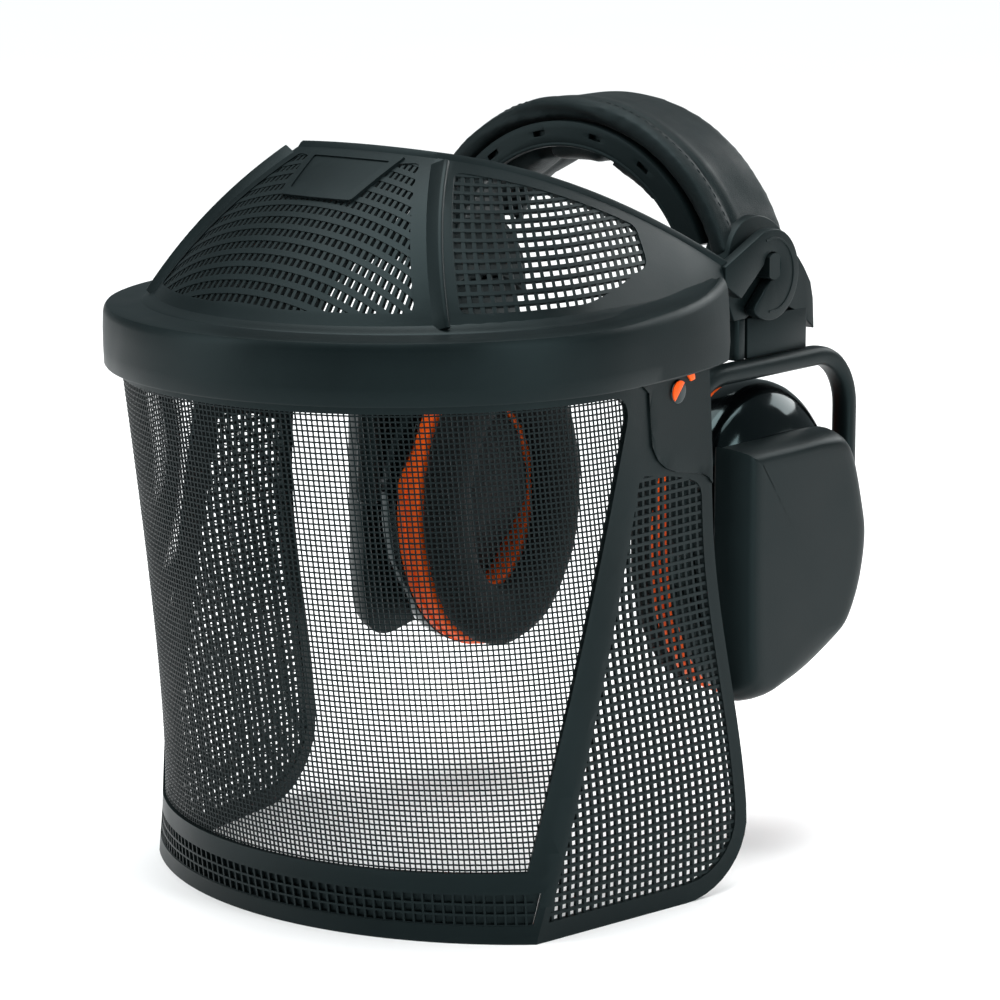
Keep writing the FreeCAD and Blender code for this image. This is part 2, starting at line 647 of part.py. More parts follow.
rear_corner = size("rear_corner")
trim_y = wing_rear(1.0).y
round_middle = rear_corner * (1.0 - math.sqrt(0.5))
trim_start = Vec(0, trim_y - rear_corner + 3.0, visor_low - 0.4)
trim_end = Vec(0, trim_y + 0.4, visor_low + rear_corner - 3.0)
trim_corner = Vec(0, trim_y + 8.0, visor_low - 2.0)
trim = Part.Face(Part.Wire([
    Part.Arc(trim_start, Vec(0, trim_y - round_middle, visor_low + round_middle), trim_end).toShape(),
    Part.LineSegment(trim_end, Vec(0, trim_corner.y, trim_end.z)).toShape(),
    Part.LineSegment(Vec(0, trim_corner.y, trim_end.z), trim_corner).toShape(),
    Part.LineSegment(trim_corner, Vec(0, trim_start.y, trim_corner.z)).toShape(),
    Part.LineSegment(Vec(0, trim_start.y, trim_corner.z), trim_start).toShape(),
])).extrude(Vec(280, 0, 0))
trim.translate(Vec(-140, 0, 0))
knob_hole = Part.makeCylinder(size("knob_radius") + size("knob_gap"), 240,
                              Vec(-120, size("knob_y"), size("knob_z")), Vec(1, 0, 0))
frame = doc.addObject("Part::Feature", "visor_frame")
mark_block = Part.makeBox(240, size("mark_long"), size("mark_tall"),
                          Vec(-120, size("mark_y"), size("mark_z")))
whole_sheet = visor_sheet(size("visor_wall"))
window = sector_block(window_top, window_low, -9.0, 4.0, window_border)
frame.Shape = whole_sheet.cut([window, trim, knob_hole, mark_block])
keep(frame, "visor_frame")

mark = doc.addObject("Part::Feature", "left_lock_mark")
mark.Shape = next(solid for solid in whole_sheet.common(mark_block).Solids if solid.CenterOfMass.x > 0)
keep(mark, "left_lock_mark")
mirrored(mark, "right_lock_mark")

mesh = doc.addObject("Part::Feature", "visor_mesh")
mesh.Shape = sector_block(window_top + mesh_gap / tall, window_low - mesh_gap / tall,
                          -0.5 - size("mesh_wall"), -0.5, window_border + mesh_gap)
keep(mesh, "visor_mesh")

# ---------------------------------------------------------------- visor lock knobs
knob_face = "D.lug_far * 1 mm + 4.9 mm"
knob_head = rod("knob_head", "D.knob_radius * 1 mm", "4.4 mm", "D.lug_far * 1 mm + 0.5 mm",
                "D.knob_y * 1 mm", "D.knob_z * 1 mm", Vec(0, 1, 0), 90)
knob_neck = rod("knob_neck", "D.neck_radius * 1 mm", "5 mm", "D.lug_far * 1 mm - 4.5 mm",
                "D.knob_y * 1 mm", "D.knob_z * 1 mm", Vec(0, 1, 0), 90)
knob_key = box("knob_key", "(D.lug_far - D.lug_thick) * 1 mm - 2.3 mm", "(D.knob_y - D.key_half) * 1 mm",
               "D.knob_z * 1 mm - 2 mm", "2 mm", "2 * D.key_half * 1 mm", "4 mm")
knob_slot = box("knob_slot", f"{knob_face} - 0.9 mm", "D.knob_y * 1 mm - 0.6 mm",
                "D.knob_z * 1 mm - 6 mm", "3 mm", "1.2 mm", "12 mm")
knob = keep(cut("left_lock_knob", fused("knob_blank", knob_head, knob_neck, knob_key), knob_slot),
            "left_lock_knob")
mirrored(knob, "right_lock_knob")

# ---------------------------------------------------------------- sliders and yokes
block = plate_body("slider_block", "D.block_width / 2 * 1 mm", "(D.block_top - D.block_low) / 2 * 1 mm",
                   "2 mm", "(D.block_far - D.block_near) * 1 mm", "D.block_near * 1 mm",
                   "(D.cup_y + 4) * 1 mm", "(D.block_top + D.block_low) / 2 * 1 mm")
tongue = box("slider_tongue", "D.tongue_near * 1 mm", "(D.cup_y - D.tongue_width / 2) * 1 mm",
             "D.block_low * 1 mm + 2 mm", "D.tongue_thick * 1 mm", "D.tongue_width * 1 mm",
             "(D.tongue_top - D.block_low - 2) * 1 mm")
shadow = doc.addObject("Part::Feature", "housing_shadow")
shadow.Shape = side_block
shadow.Placement.Base = Vec(0, 0, -size("block_gap"))
slider = keep(fused("left_slider", cut("block_under_boot", block, shadow), tongue), "left_slider")
mirrored(slider, "right_slider")

yoke_outer = plate_body("yoke_outer", "D.yoke_half * 1 mm", "(D.yoke_top - D.pivot_z) * 1 mm",
                        "D.yoke_round * 1 mm", "D.yoke_thick * 1 mm", "D.yoke_near * 1 mm",
                        "D.cup_y * 1 mm", "D.pivot_z * 1 mm")
yoke_inner = plate_body("yoke_inner", "(D.yoke_half - D.yoke_bar) * 1 mm",
                        "(D.yoke_top - D.pivot_z - D.yoke_bar) * 1 mm",
                        "(D.yoke_round - D.yoke_bar) * 1 mm", "D.yoke_thick * 1 mm + 4 mm",
                        "D.yoke_near * 1 mm - 2 mm", "D.cup_y * 1 mm", "D.pivot_z * 1 mm")
yoke_open = box("yoke_open", "D.yoke_near * 1 mm - 2 mm", "D.cup_y * 1 mm - 70 mm", "D.pivot_z * 1 mm - 86 mm",
                "D.yoke_thick * 1 mm + 4 mm", "140 mm", "80 mm")
yoke = cut("yoke_blank", yoke_outer, fused("yoke_space", yoke_inner, yoke_open))
TILT_ENDS = (("front", 1), ("rear", -1))


def tilt_rod(name, turn, radius, length):
    """A rod on the tilt axis, from the yoke's arm inwards; turn is 1 in front, -1 behind."""
    start = f"(D.cup_y {'-' if turn > 0 else '+'} (D.yoke_half - 1)) * 1 mm"
    return rod(name, f"({radius}) * 1 mm", length, "D.pivot_x * 1 mm", start, "D.pivot_z * 1 mm",
               Vec(1, 0, 0), -90 * turn)


pins = [tilt_rod(f"{end}_tilt_pin", turn, "D.pivot_radius", "11.5 mm") for end, turn in TILT_ENDS]
yoke_drilled = keep(cut("left_yoke", yoke, fused("yoke_pin_holes", *pins)), "left_yoke")
mirrored(yoke_drilled, "right_yoke")
pin_pair = keep(doc.addObject("Part::Compound", "left_tilt_pins"), "left_tilt_pins")
pin_pair.Links = pins
mirrored(pin_pair, "right_tilt_pins")

# ---------------------------------------------------------------- ear cups


def oval(name, half_y, half_z, x):
    """A bound ellipse in the YZ plane, taller than it is wide."""
    piece = doc.addObject("Part::Ellipse", name)
    piece.Placement.Rotation = Rotation(Vec(0, 0, 1), Vec(0, 1, 0), Vec(-1, 0, 0), "ZXY")
    bind(piece, MajorRadius=half_z, MinorRadius=half_y)
    return placed(piece, x, "D.cup_y * 1 mm", "D.cup_z * 1 mm")


def oval_loft(name, *sizes):
    """A solid lofted through ovals, each given as grow in Y, grow in Z and X."""
    loft = doc.addObject("Part::Loft", name)
    loft.Sections = [
        oval(f"{name}_oval_{number}", f"(D.cup_half_y + ({grow_y})) * 1 mm",
             f"(D.cup_half_z + ({grow_z})) * 1 mm", f"({x}) * 1 mm")
        for number, (grow_y, grow_z, x) in enumerate(sizes, start=1)
    ]
    loft.Solid = True
    loft.Ruled = False
    return loft


def ear_hole(name, margin, near_x, far_x):
    loft = doc.addObject("Part::Loft", name)
    loft.Sections = [
        oval(f"{name}_oval_{number}", f"(D.ear_half_y + ({margin})) * 1 mm",
             f"(D.ear_half_z + ({margin})) * 1 mm", f"({x}) * 1 mm")
        for number, x in enumerate((near_x, far_x), start=1)
    ]
    loft.Solid = True
    loft.Ruled = True
    return loft


cushion_blank = oval_loft("cushion_blank", (-5.0, -5.0, "D.cushion_near"), (-1.2, -1.2, "D.cushion_near + 3.5"),
                          (0.0, 0.0, "D.cushion_near + 7"), (-0.6, -0.6, "D.plate_near - 0.05"))
cushion = keep(cut("left_ear_cushion", cushion_blank,
                   ear_hole("cushion_hole", 0.0, "D.cushion_near - 1", "D.plate_near + 1")),
               "left_ear_cushion")
mirrored(cushion, "right_ear_cushion")

plate_blank = oval_loft("plate_blank", (0.0, 0.0, "D.plate_near"), (0.5, 0.5, "D.plate_near + 4"),
                        (0.5, 0.5, "D.plate_far"))
plate_step = ear_hole("plate_hole", -2.0, "D.plate_near - 1", "D.plate_far + 1")
plate = keep(cut("left_back_plate", plate_blank, plate_step), "left_back_plate")
mirrored(plate, "right_back_plate")

shell_out = oval_loft("shell_out", (0.6, 0.6, "D.plate_far"), (-0.4, -1.0, "D.plate_far + 7"),
                      (-4.0, -6.0, "D.shell_far - 3"), (-7.5, -11.0, "D.shell_far"))
shell_in = oval_loft("shell_in", (-3.0, -3.0, "D.plate_far - 1"), (-3.6, -4.2, "D.plate_far + 6"),
                     (-7.5, -9.5, "D.shell_far - 5"), (-10.0, -13.0, "D.shell_far - 2.6"))
bore_rods = [tilt_rod(f"{end}_tilt_bore", turn, "D.pivot_radius + D.pivot_gap", "11.7 mm")
             for end, turn in TILT_ENDS]
shell_cut = cut("shell_hollowed", shell_out, shell_in)
boss_rods = []
for turn in (-1, 1):
    boss = rod(f"tilt_boss_{(turn + 3) // 2}", "5 mm", "6 mm", "D.pivot_x * 1 mm",
               f"(D.cup_y {'+' if turn > 0 else '-'} (D.cup_half_y - 3.5)) * 1 mm",
               "D.pivot_z * 1 mm", Vec(1, 0, 0), 90 * turn)
    boss_rods.append(boss)
boss_pair = common("boss_pair", fused("boss_rods", *boss_rods), shell_out)
shell = keep(cut("left_cup_shell", fused("shell_with_bosses", shell_cut, boss_pair),
                 fused("shell_bores", *bore_rods)), "left_cup_shell")
mirrored(shell, "right_cup_shell")

liner_blank = oval_loft("liner_blank", (-9.0, -9.5, "D.plate_far + 0.1"), (-11.5, -13.5, "D.shell_far - 6"))
liner = keep(liner_blank, "left_foam_liner")
mirrored(liner, "right_foam_liner")

# The outer cover: a shield outline with a straight top, drawn in towards its face.
COVER_FRONT, COVER_BACK = -38.0, 42.0
COVER_TOP, COVER_LOW = -90.5, -181.5
COVER_MIDDLE = (COVER_TOP + COVER_LOW) / 2


def shield(x, shrink):
    """The cover's outline at x, shrunk evenly."""
    front_y, back_y = COVER_FRONT + shrink, COVER_BACK - shrink
    top_z, low_z = COVER_TOP - shrink, COVER_LOW + shrink
    points = [
        Vec(x, front_y, top_z - 5.0), Vec(x, front_y + 5.0, top_z), Vec(x, back_y - 21.0, top_z),
        Vec(x, back_y - 11.0, top_z - 4.5), Vec(x, back_y - 1.5, top_z - 27.0),
        Vec(x, back_y, COVER_MIDDLE + 4.0), Vec(x, back_y - 2.0, COVER_MIDDLE - 8.0),
        Vec(x, back_y - 11.0, low_z + 20.0), Vec(x, back_y - 22.0, low_z + 10.5), Vec(x, back_y - 37.0, low_z + 4.5),
        Vec(x, back_y - 54.0, low_z + 0.8), Vec(x, front_y + 8.0, low_z), Vec(x, front_y, low_z + 9.0),
    ]
    return points


def shield_wire(x, shrink):
    points = shield(x, shrink)
    edges = []
    for start, end in zip(points, points[1:] + points[:1]):
        edges.append(Part.LineSegment(start, end).toShape())
    return Part.Wire(edges)


cover_near, cover_far = size("shell_far"), size("cover_far")
outer_cover = Part.makeLoft([shield_wire(cover_near, 0.0), shield_wire(cover_far - 3.0, 2.0),
                             shield_wire(cover_far, 5.0)], True, True)
inner_cover = Part.makeLoft([shield_wire(cover_near - 0.5, 2.4), shield_wire(cover_far - 4.5, 4.4),
                             shield_wire(cover_far - 2.4, 7.2)], True, True)
cup_cover = doc.addObject("Part::Feature", "left_cup_cover")
cup_cover.Shape = outer_cover.cut(inner_cover)
keep(cup_cover, "left_cup_cover")
mirrored(cup_cover, "right_cup_cover")

# ---------------------------------------------------------------- checks and files
doc.recompute()
faults = []
for item in doc.Objects:
    if "Invalid" in item.State or "Error" in item.State:
        faults.append(f"{item.Name}: {item.State}")
for label, item in nodes.items():
    shape = item.Shape
    if shape.isNull() or not shape.isValid() or shape.Volume <= 0:
        faults.append(f"{label}: bad shape")
if faults:
    raise RuntimeError("; ".join(faults))

os.makedirs("parts", exist_ok=True)
for label, item in nodes.items():
    item.Shape.exportStep(f"parts/{label}.step")
    box_ = item.Shape.BoundBox
    print(f"{label:22s} solids {len(item.Shape.Solids)} volume {item.Shape.Volume / 1000:8.2f} cm3"
          f"  x {box_.XMin:7.1f} {box_.XMax:7.1f}  y {box_.YMin:7.1f} {box_.YMax:7.1f}"
          f"  z {box_.ZMin:7.1f} {box_.ZMax:7.1f}")
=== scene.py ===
import json
import math

import bmesh
import bpy
from bpy.props import FloatProperty, FloatVectorProperty, PointerProperty
from mathutils import Matrix, Vector, noise


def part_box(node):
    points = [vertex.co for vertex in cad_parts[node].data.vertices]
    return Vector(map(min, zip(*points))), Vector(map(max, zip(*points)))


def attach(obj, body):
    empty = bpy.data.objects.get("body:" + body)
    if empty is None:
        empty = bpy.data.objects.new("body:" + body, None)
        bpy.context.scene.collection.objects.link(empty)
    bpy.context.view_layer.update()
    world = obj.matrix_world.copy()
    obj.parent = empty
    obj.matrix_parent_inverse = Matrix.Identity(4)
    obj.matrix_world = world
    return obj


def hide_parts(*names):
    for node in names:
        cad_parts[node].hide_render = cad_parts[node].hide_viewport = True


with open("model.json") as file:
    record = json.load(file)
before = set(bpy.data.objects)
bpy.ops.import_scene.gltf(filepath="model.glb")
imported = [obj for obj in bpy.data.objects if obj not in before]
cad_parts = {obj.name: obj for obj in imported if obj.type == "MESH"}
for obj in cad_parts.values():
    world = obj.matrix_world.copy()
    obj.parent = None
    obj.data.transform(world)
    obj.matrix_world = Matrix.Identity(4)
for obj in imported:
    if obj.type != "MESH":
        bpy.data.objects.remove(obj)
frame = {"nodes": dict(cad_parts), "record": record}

bl_info = {
    "name": "Forestry Face and Ear Protector",
    "version": (1, 0, 0),
    "blender": (4, 5, 0),
    "location": "View3D > Sidebar > Protector",
    "description": "Builds the visible pieces of a forestry face and ear protector round its packed frame",
    "category": "Object",
}

# Shapes are worked out in millimetres and scaled when they become an object. The places that
# belong to the frame are read from its nodes; the other sizes are named beside their piece.
MM = 0.001
SIDES = (("left", 1), ("right", -1))


def node_box(name):
    """Lowest and highest corner of a frame node, in millimetres."""
    low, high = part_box(name)
    return low / MM, high / MM


_, cover_high = node_box("headband_cover")
sheet_low, sheet_high = node_box("visor_frame")
shell_low, shell_high = node_box("left_cup_shell")
hub_low, hub_high = node_box("left_hub")
knob_low, knob_high = node_box("left_lock_knob")
yoke_low, yoke_high = node_box("left_yoke")
peg_low, peg_high = node_box("left_hinge_peg")

SLEEVE_OUTER, SLEEVE_INNER = 73.0, 64.4
ARCH_Z = cover_high.z - SLEEVE_OUTER
MOULDING_HALF_ANGLE = math.radians(67.0)
SLEEVE_HALF_ANGLE = math.radians(73.0)
RIM_Z, VISOR_TOP = sheet_low.z, sheet_high.z
VISOR_TALL = VISOR_TOP - RIM_Z
CUP_Y = (shell_low.y + shell_high.y) / 2
CUP_Z = (shell_low.z + shell_high.z) / 2
PIVOT_ABOVE_CUP_MIDDLE = 8.0
PIVOT_Z = CUP_Z + PIVOT_ABOVE_CUP_MIDDLE
HINGE_Z = (peg_low.z + peg_high.z) / 2
KNOB_Y = (knob_low.y + knob_high.y) / 2
KNOB_Z = (knob_low.z + knob_high.z) / 2
# The peak and the guard share a U outline: a half circle about ROUND_Y and two straight sides.
ROUND_Y = -109.0
GUARD_BASE = -37.5


# ---------------------------------------------------------------- what a user would change
class ProtectorFinishes(bpy.types.PropertyGroup):
    """Colours and grain of the moulded and sewn parts."""

    plastic: FloatVectorProperty(
        name="Plastic", description="Colour of the dark moulded parts",
        subtype="COLOR", size=3, min=0.0, max=1.0, default=(0.0030, 0.0052, 0.0056))
    gloss: FloatVectorProperty(
        name="Gloss shell", description="Colour of the polished ear cup shell",
        subtype="COLOR", size=3, min=0.0, max=1.0, default=(0.0010, 0.0013, 0.0015))
    accent: FloatVectorProperty(
        name="Accent", description="Colour of the back plates, knob faces and lock marks",
        subtype="COLOR", size=3, min=0.0, max=1.0, default=(1.0, 0.095, 0.004))
    sleeve: FloatVectorProperty(
        name="Sleeve", description="Colour of the headband sleeve and the head pads",
        subtype="COLOR", size=3, min=0.0, max=1.0, default=(0.0024, 0.0040, 0.0044))
    cushion: FloatVectorProperty(
        name="Cushion", description="Colour of the ear cushions' skin",
        subtype="COLOR", size=3, min=0.0, max=1.0, default=(0.0022, 0.0030, 0.0033))
    foam: FloatVectorProperty(
        name="Foam", description="Colour of the foam inside the ear cups",
        subtype="COLOR", size=3, min=0.0, max=1.0, default=(0.006, 0.0064, 0.007))
    mesh: FloatVectorProperty(
        name="Mesh", description="Colour of the visor's woven mesh",
        subtype="COLOR", size=3, min=0.0, max=1.0, default=(0.0018, 0.0030, 0.0033))
    steel: FloatVectorProperty(
        name="Steel", description="Colour of the spring strip and the tilt pins",
        subtype="COLOR", size=3, min=0.0, max=1.0, default=(0.42, 0.43, 0.45))
    grain: FloatProperty(
        name="Grain", description="Size of the moulded plastic's surface grain",
        unit="LENGTH", subtype="DISTANCE", min=0.0001, max=0.005, default=0.0007)


class ProtectorMeshwork(bpy.types.PropertyGroup):
    """Spacing and thickness of the mesh and the moulded grilles."""

    wire_pitch: FloatProperty(
        name="Wire pitch", description="Distance from wire to wire of the visor mesh",
        unit="LENGTH", subtype="DISTANCE", min=0.0008, max=0.01, default=0.00182)
    wire: FloatProperty(
        name="Wire", description="Thickness of a wire of the visor mesh",
        unit="LENGTH", subtype="DISTANCE", min=0.0001, max=0.003, default=0.0005)
    wing_row: FloatProperty(
        name="Wing rows", description="Distance from row to row of a wing's grille",
        unit="LENGTH", subtype="DISTANCE", min=0.001, max=0.01, default=0.00305)
    wing_column: FloatProperty(
        name="Wing columns", description="Distance from column to column of a wing's grille",
        unit="LENGTH", subtype="DISTANCE", min=0.001, max=0.01, default=0.0036)
    wing_bar: FloatProperty(
        name="Wing bar", description="Width of a bar of a wing's grille",
        unit="LENGTH", subtype="DISTANCE", min=0.0003, max=0.005, default=0.00108)
    guard_pitch: FloatProperty(
        name="Guard pitch", description="Distance from row to row of the brow guard's grilles",
        unit="LENGTH", subtype="DISTANCE", min=0.001, max=0.02, default=0.0042)
    guard_bar: FloatProperty(
        name="Guard bar", description="Width of a bar of the brow guard's grilles",
        unit="LENGTH", subtype="DISTANCE", min=0.0003, max=0.005, default=0.0014)
    rim_cell: FloatProperty(
        name="Rim cell", description="Distance from cell to cell along the visor's bottom rim",
        unit="LENGTH", subtype="DISTANCE", min=0.001, max=0.02, default=0.0034)


class ProtectorPadding(bpy.types.PropertyGroup):
    """How the sewn and foam-filled pieces swell and are stitched."""

    swell: FloatProperty(
        name="Swell", description="Farthest that a point of a pad may move as it fills out",
        unit="LENGTH", subtype="DISTANCE", min=0.0, max=0.02, default=0.0022)
    voxel: FloatProperty(
        name="Voxel", description="Cell size of a pad's mesh before it fills out",
        unit="LENGTH", subtype="DISTANCE", min=0.001, max=0.01, default=0.0026)
    stitch_pitch: FloatProperty(
        name="Stitch pitch", description="Distance from stitch to stitch of a seam",
        unit="LENGTH", subtype="DISTANCE", min=0.001, max=0.02, default=0.0034)


class ProtectorStudio(bpy.types.PropertyGroup):
    """Where the camera stands and what it aims at."""

    azimuth: FloatProperty(
        name="Azimuth", description="Camera angle round the object, from straight in front",
        subtype="ANGLE", unit="ROTATION", default=math.radians(39.4))
    elevation: FloatProperty(
        name="Elevation", description="Camera angle above level",
        subtype="ANGLE", unit="ROTATION", default=math.radians(11.2))
    distance: FloatProperty(
        name="Distance", description="Camera distance from its aim",
        unit="LENGTH", subtype="DISTANCE", min=0.2, max=10.0, default=1.335)
    lens: FloatProperty(
        name="Lens", description="Focal length for a 36 mm wide sensor",
        unit="CAMERA", min=10.0, max=500.0, default=136.5)
    aim_y: FloatProperty(
        name="Aim along Y", description="Aim point along Y",
        unit="LENGTH", subtype="DISTANCE", default=-0.056)
    aim_z: FloatProperty(
        name="Aim height", description="Aim point along Z",
        unit="LENGTH", subtype="DISTANCE", default=-0.1156)


# ---------------------------------------------------------------- materials
# The dark plastics mirror their surroundings slightly blue-green.
COOL_GLOSS = (0.66, 0.96, 1.0, 1.0)


def shader_material(name, colour, roughness, **sockets):
    """A material whose colour is even; its other uniform values sit on the shader's own sockets."""
    material = bpy.data.materials.new(name)
    material.use_nodes = True
    tree = material.node_tree
    shader = tree.nodes["Principled BSDF"]
    shader.inputs["Base Color"].default_value = (*colour, 1.0)
    shader.inputs["Roughness"].default_value = roughness
    for socket, value in sockets.items():
        shader.inputs[socket.replace("_", " ")].default_value = value
    return material, tree, shader


def add_node(tree, kind, **settings):
    """A shader node with its inputs or settings filled in."""
    node = tree.nodes.new(kind)
    for key, value in settings.items():
        if key in node.inputs:
            node.inputs[key].default_value = value
        else:
            setattr(node, key, value)
    return node


def object_noise(tree, scale, detail=4.0):
    """Noise on the object's own coordinates; scale is in turns per metre."""
    place = add_node(tree, "ShaderNodeTexCoord")
    pattern = add_node(tree, "ShaderNodeTexNoise")
    pattern.inputs["Scale"].default_value = scale
    pattern.inputs["Detail"].default_value = detail
    tree.links.new(place.outputs["Object"], pattern.inputs["Vector"])
    return pattern


def spread(tree, source, low, high):
    """Spread a 0 to 1 factor between two values."""
    ramp = add_node(tree, "ShaderNodeMapRange")
    ramp.inputs["From Min"].default_value = 0.3
    ramp.inputs["From Max"].default_value = 0.7
    ramp.inputs["To Min"].default_value = low
    ramp.inputs["To Max"].default_value = high
    tree.links.new(source, ramp.inputs["Value"])
    return ramp.outputs["Result"]


def tint(tree, shader, source, colour, low=0.75, high=1.3):
    """Vary the base colour a little about its own shade."""
    mix = add_node(tree, "ShaderNodeMix", data_type="RGBA")
    mix.inputs["A"].default_value = (*(c * low for c in colour), 1.0)
    mix.inputs["B"].default_value = (*(min(c * high, 1.0) for c in colour), 1.0)
    tree.links.new(source, mix.inputs["Factor"])
    tree.links.new(mix.outputs["Result"], shader.inputs["Base Color"])
    return mix


def raise_bump(tree, shader, height, strength, distance):
    """Dent the surface by a height; distance is in metres."""
    bump = add_node(tree, "ShaderNodeBump")
    bump.inputs["Strength"].default_value = strength
    bump.inputs["Distance"].default_value = distance
    tree.links.new(height, bump.inputs["Height"])
    tree.links.new(bump.outputs["Normal"], shader.inputs["Normal"])
    return bump


def worn_edges(tree, mix, colour):
    """Lighten the colour where edges are rubbed."""
    geometry = add_node(tree, "ShaderNodeNewGeometry")
    edge = add_node(tree, "ShaderNodeMapRange")
    edge.inputs["From Min"].default_value = 0.53
    edge.inputs["From Max"].default_value = 0.62
    edge.inputs["To Max"].default_value = 0.35
    rub = add_node(tree, "ShaderNodeMix", data_type="RGBA")
    rub.inputs["B"].default_value = (*(min(c * 1.9 + 0.004, 1.0) for c in colour), 1.0)
    tree.links.new(geometry.outputs["Pointiness"], edge.inputs["Value"])
    tree.links.new(edge.outputs["Result"], rub.inputs["Factor"])
    tree.links.new(mix.outputs["Result"], rub.inputs["A"])
    return rub


def moulded_plastic(name, colour, roughness=0.42, depth=0.00006):
    """Satin moulded plastic: fine grain in bump, slow changes of tone and roughness, rubbed edges."""
    grain_size = bpy.context.scene.protector_finishes.grain
    material, tree, shader = shader_material(name, colour, roughness, Specular_IOR_Level=0.13,
                                             Specular_Tint=COOL_GLOSS)
    fine = object_noise(tree, 1.0 / grain_size, detail=3.0)
    slow = object_noise(tree, 28.0, detail=3.0)
    mix = tint(tree, shader, spread(tree, slow.outputs["Fac"], 0.0, 1.0), colour)
    rub = worn_edges(tree, mix, colour)
    tree.links.new(rub.outputs["Result"], shader.inputs["Base Color"])
    tree.links.new(spread(tree, slow.outputs["Fac"], roughness - 0.05, roughness + 0.07),
                   shader.inputs["Roughness"])
    raise_bump(tree, shader, fine.outputs["Fac"], 0.35, depth)
    return material


def polished_plastic(name, colour):
    """Polished plastic with a slight ripple and faint scuffs."""
    material, tree, shader = shader_material(name, colour, 0.09, Specular_IOR_Level=0.3,
                                             Specular_Tint=COOL_GLOSS)
    scuff = object_noise(tree, 160.0, detail=6.0)
    ripple = object_noise(tree, 22.0, detail=1.0)
    tree.links.new(spread(tree, scuff.outputs["Fac"], 0.06, 0.17), shader.inputs["Roughness"])
    tint(tree, shader, ripple.outputs["Fac"], colour, 0.7, 1.4)
    raise_bump(tree, shader, ripple.outputs["Fac"], 0.12, 0.0004)
    return material


def coated_fabric(name, colour, pitch=0.0009, roughness=0.6):
    """Coated fabric: a fine leather-like grain over soft creases, with a little sheen."""
    material, tree, shader = shader_material(name, colour, roughness, Specular_IOR_Level=0.16,
                                             Specular_Tint=COOL_GLOSS, Sheen_Weight=0.02, Sheen_Roughness=0.5)
    place = add_node(tree, "ShaderNodeTexCoord")
    cells = add_node(tree, "ShaderNodeTexVoronoi", feature="DISTANCE_TO_EDGE")
    cells.inputs["Scale"].default_value = 1.0 / pitch
    tree.links.new(place.outputs["Object"], cells.inputs["Vector"])
    groove = add_node(tree, "ShaderNodeMapRange")
    groove.inputs["From Max"].default_value = 0.12
    tree.links.new(cells.outputs["Distance"], groove.inputs["Value"])
    soft = object_noise(tree, 90.0, detail=5.0)
    total = add_node(tree, "ShaderNodeMath", operation="ADD")
    fold = add_node(tree, "ShaderNodeMath", operation="MULTIPLY")
    fold.inputs[1].default_value = 5.0
    tree.links.new(soft.outputs["Fac"], fold.inputs[0])
    tree.links.new(groove.outputs["Result"], total.inputs[0])
    tree.links.new(fold.outputs["Value"], total.inputs[1])
    raise_bump(tree, shader, total.outputs["Value"], 0.3, 0.00012)
    tint(tree, shader, spread(tree, soft.outputs["Fac"], 0.0, 1.0), colour, 0.75, 1.35)
    tree.links.new(spread(tree, soft.outputs["Fac"], roughness - 0.1, roughness + 0.08),
                   shader.inputs["Roughness"])
    return material


def woven_fabric(name, colour):
    """A knitted, slightly open fabric: crossed waves on the object's own coordinates, in bump and in colour,
    with painted shade between the threads and painted light on their crowns.
    """
    pitch = 0.0011
    waves_per_turn = 0.314
    material, tree, shader = shader_material(name, colour, 0.8, Specular_IOR_Level=0.15, Sheen_Weight=0.03,
                                             Sheen_Roughness=0.4)
    place = add_node(tree, "ShaderNodeTexCoord")
    turn = add_node(tree, "ShaderNodeMapping")
    turn.inputs["Rotation"].default_value = (0.0, 0.0, math.radians(45.0))
    tree.links.new(place.outputs["Object"], turn.inputs["Vector"])
    threads = []
    for direction in ("Y", "Z"):
        wave = add_node(tree, "ShaderNodeTexWave", bands_direction=direction)
        wave.inputs["Scale"].default_value = waves_per_turn / pitch
        wave.inputs["Distortion"].default_value = 0.6
        tree.links.new(turn.outputs["Vector"], wave.inputs["Vector"])
        threads.append(wave.outputs["Fac"])
    cross = add_node(tree, "ShaderNodeMath", operation="MULTIPLY")
    tree.links.new(threads[0], cross.inputs[0])
    tree.links.new(threads[1], cross.inputs[1])
    raise_bump(tree, shader, cross.outputs["Value"], 0.5, 0.0003)
    # Painted shade and light: the colour darkens in the gaps between the threads and lightens on their raised
    # crowns, following the bump.
    tint(tree, shader, cross.outputs["Value"], colour, 0.5, 1.8)
    return material


def open_foam(name, colour):
    """Open-cell foam: pores dented in bump, with painted shade that darkens the colour towards each pore's
    middle.
    """
    material, tree, shader = shader_material(name, colour, 0.95)
    place = add_node(tree, "ShaderNodeTexCoord")
    pores = add_node(tree, "ShaderNodeTexVoronoi")
    pores.inputs["Scale"].default_value = 900.0
    tree.links.new(place.outputs["Object"], pores.inputs["Vector"])
    # Painted shade in the pores: the pattern that dents them also darkens the colour in them and lightens it
    # between them.
    tint(tree, shader, pores.outputs["Distance"], colour, 0.35, 1.9)
    raise_bump(tree, shader, pores.outputs["Distance"], 0.8, 0.0005)
    return material


def brushed_steel(name, colour):
    """Bright steel with drawn scratches along Y."""
    material, tree, shader = shader_material(name, colour, 0.3, Metallic=1.0)
    place = add_node(tree, "ShaderNodeTexCoord")
    drawn = add_node(tree, "ShaderNodeMapping")
    drawn.inputs["Scale"].default_value = (900.0, 30.0, 900.0)
    scratch = add_node(tree, "ShaderNodeTexNoise")
    scratch.inputs["Detail"].default_value = 3.0
    tree.links.new(place.outputs["Object"], drawn.inputs["Vector"])
    tree.links.new(drawn.outputs["Vector"], scratch.inputs["Vector"])
    tree.links.new(spread(tree, scratch.outputs["Fac"], 0.22, 0.42), shader.inputs["Roughness"])
    tint(tree, shader, scratch.outputs["Fac"], colour, 0.85, 1.1)
    raise_bump(tree, shader, scratch.outputs["Fac"], 0.1, 0.00005)
    return material


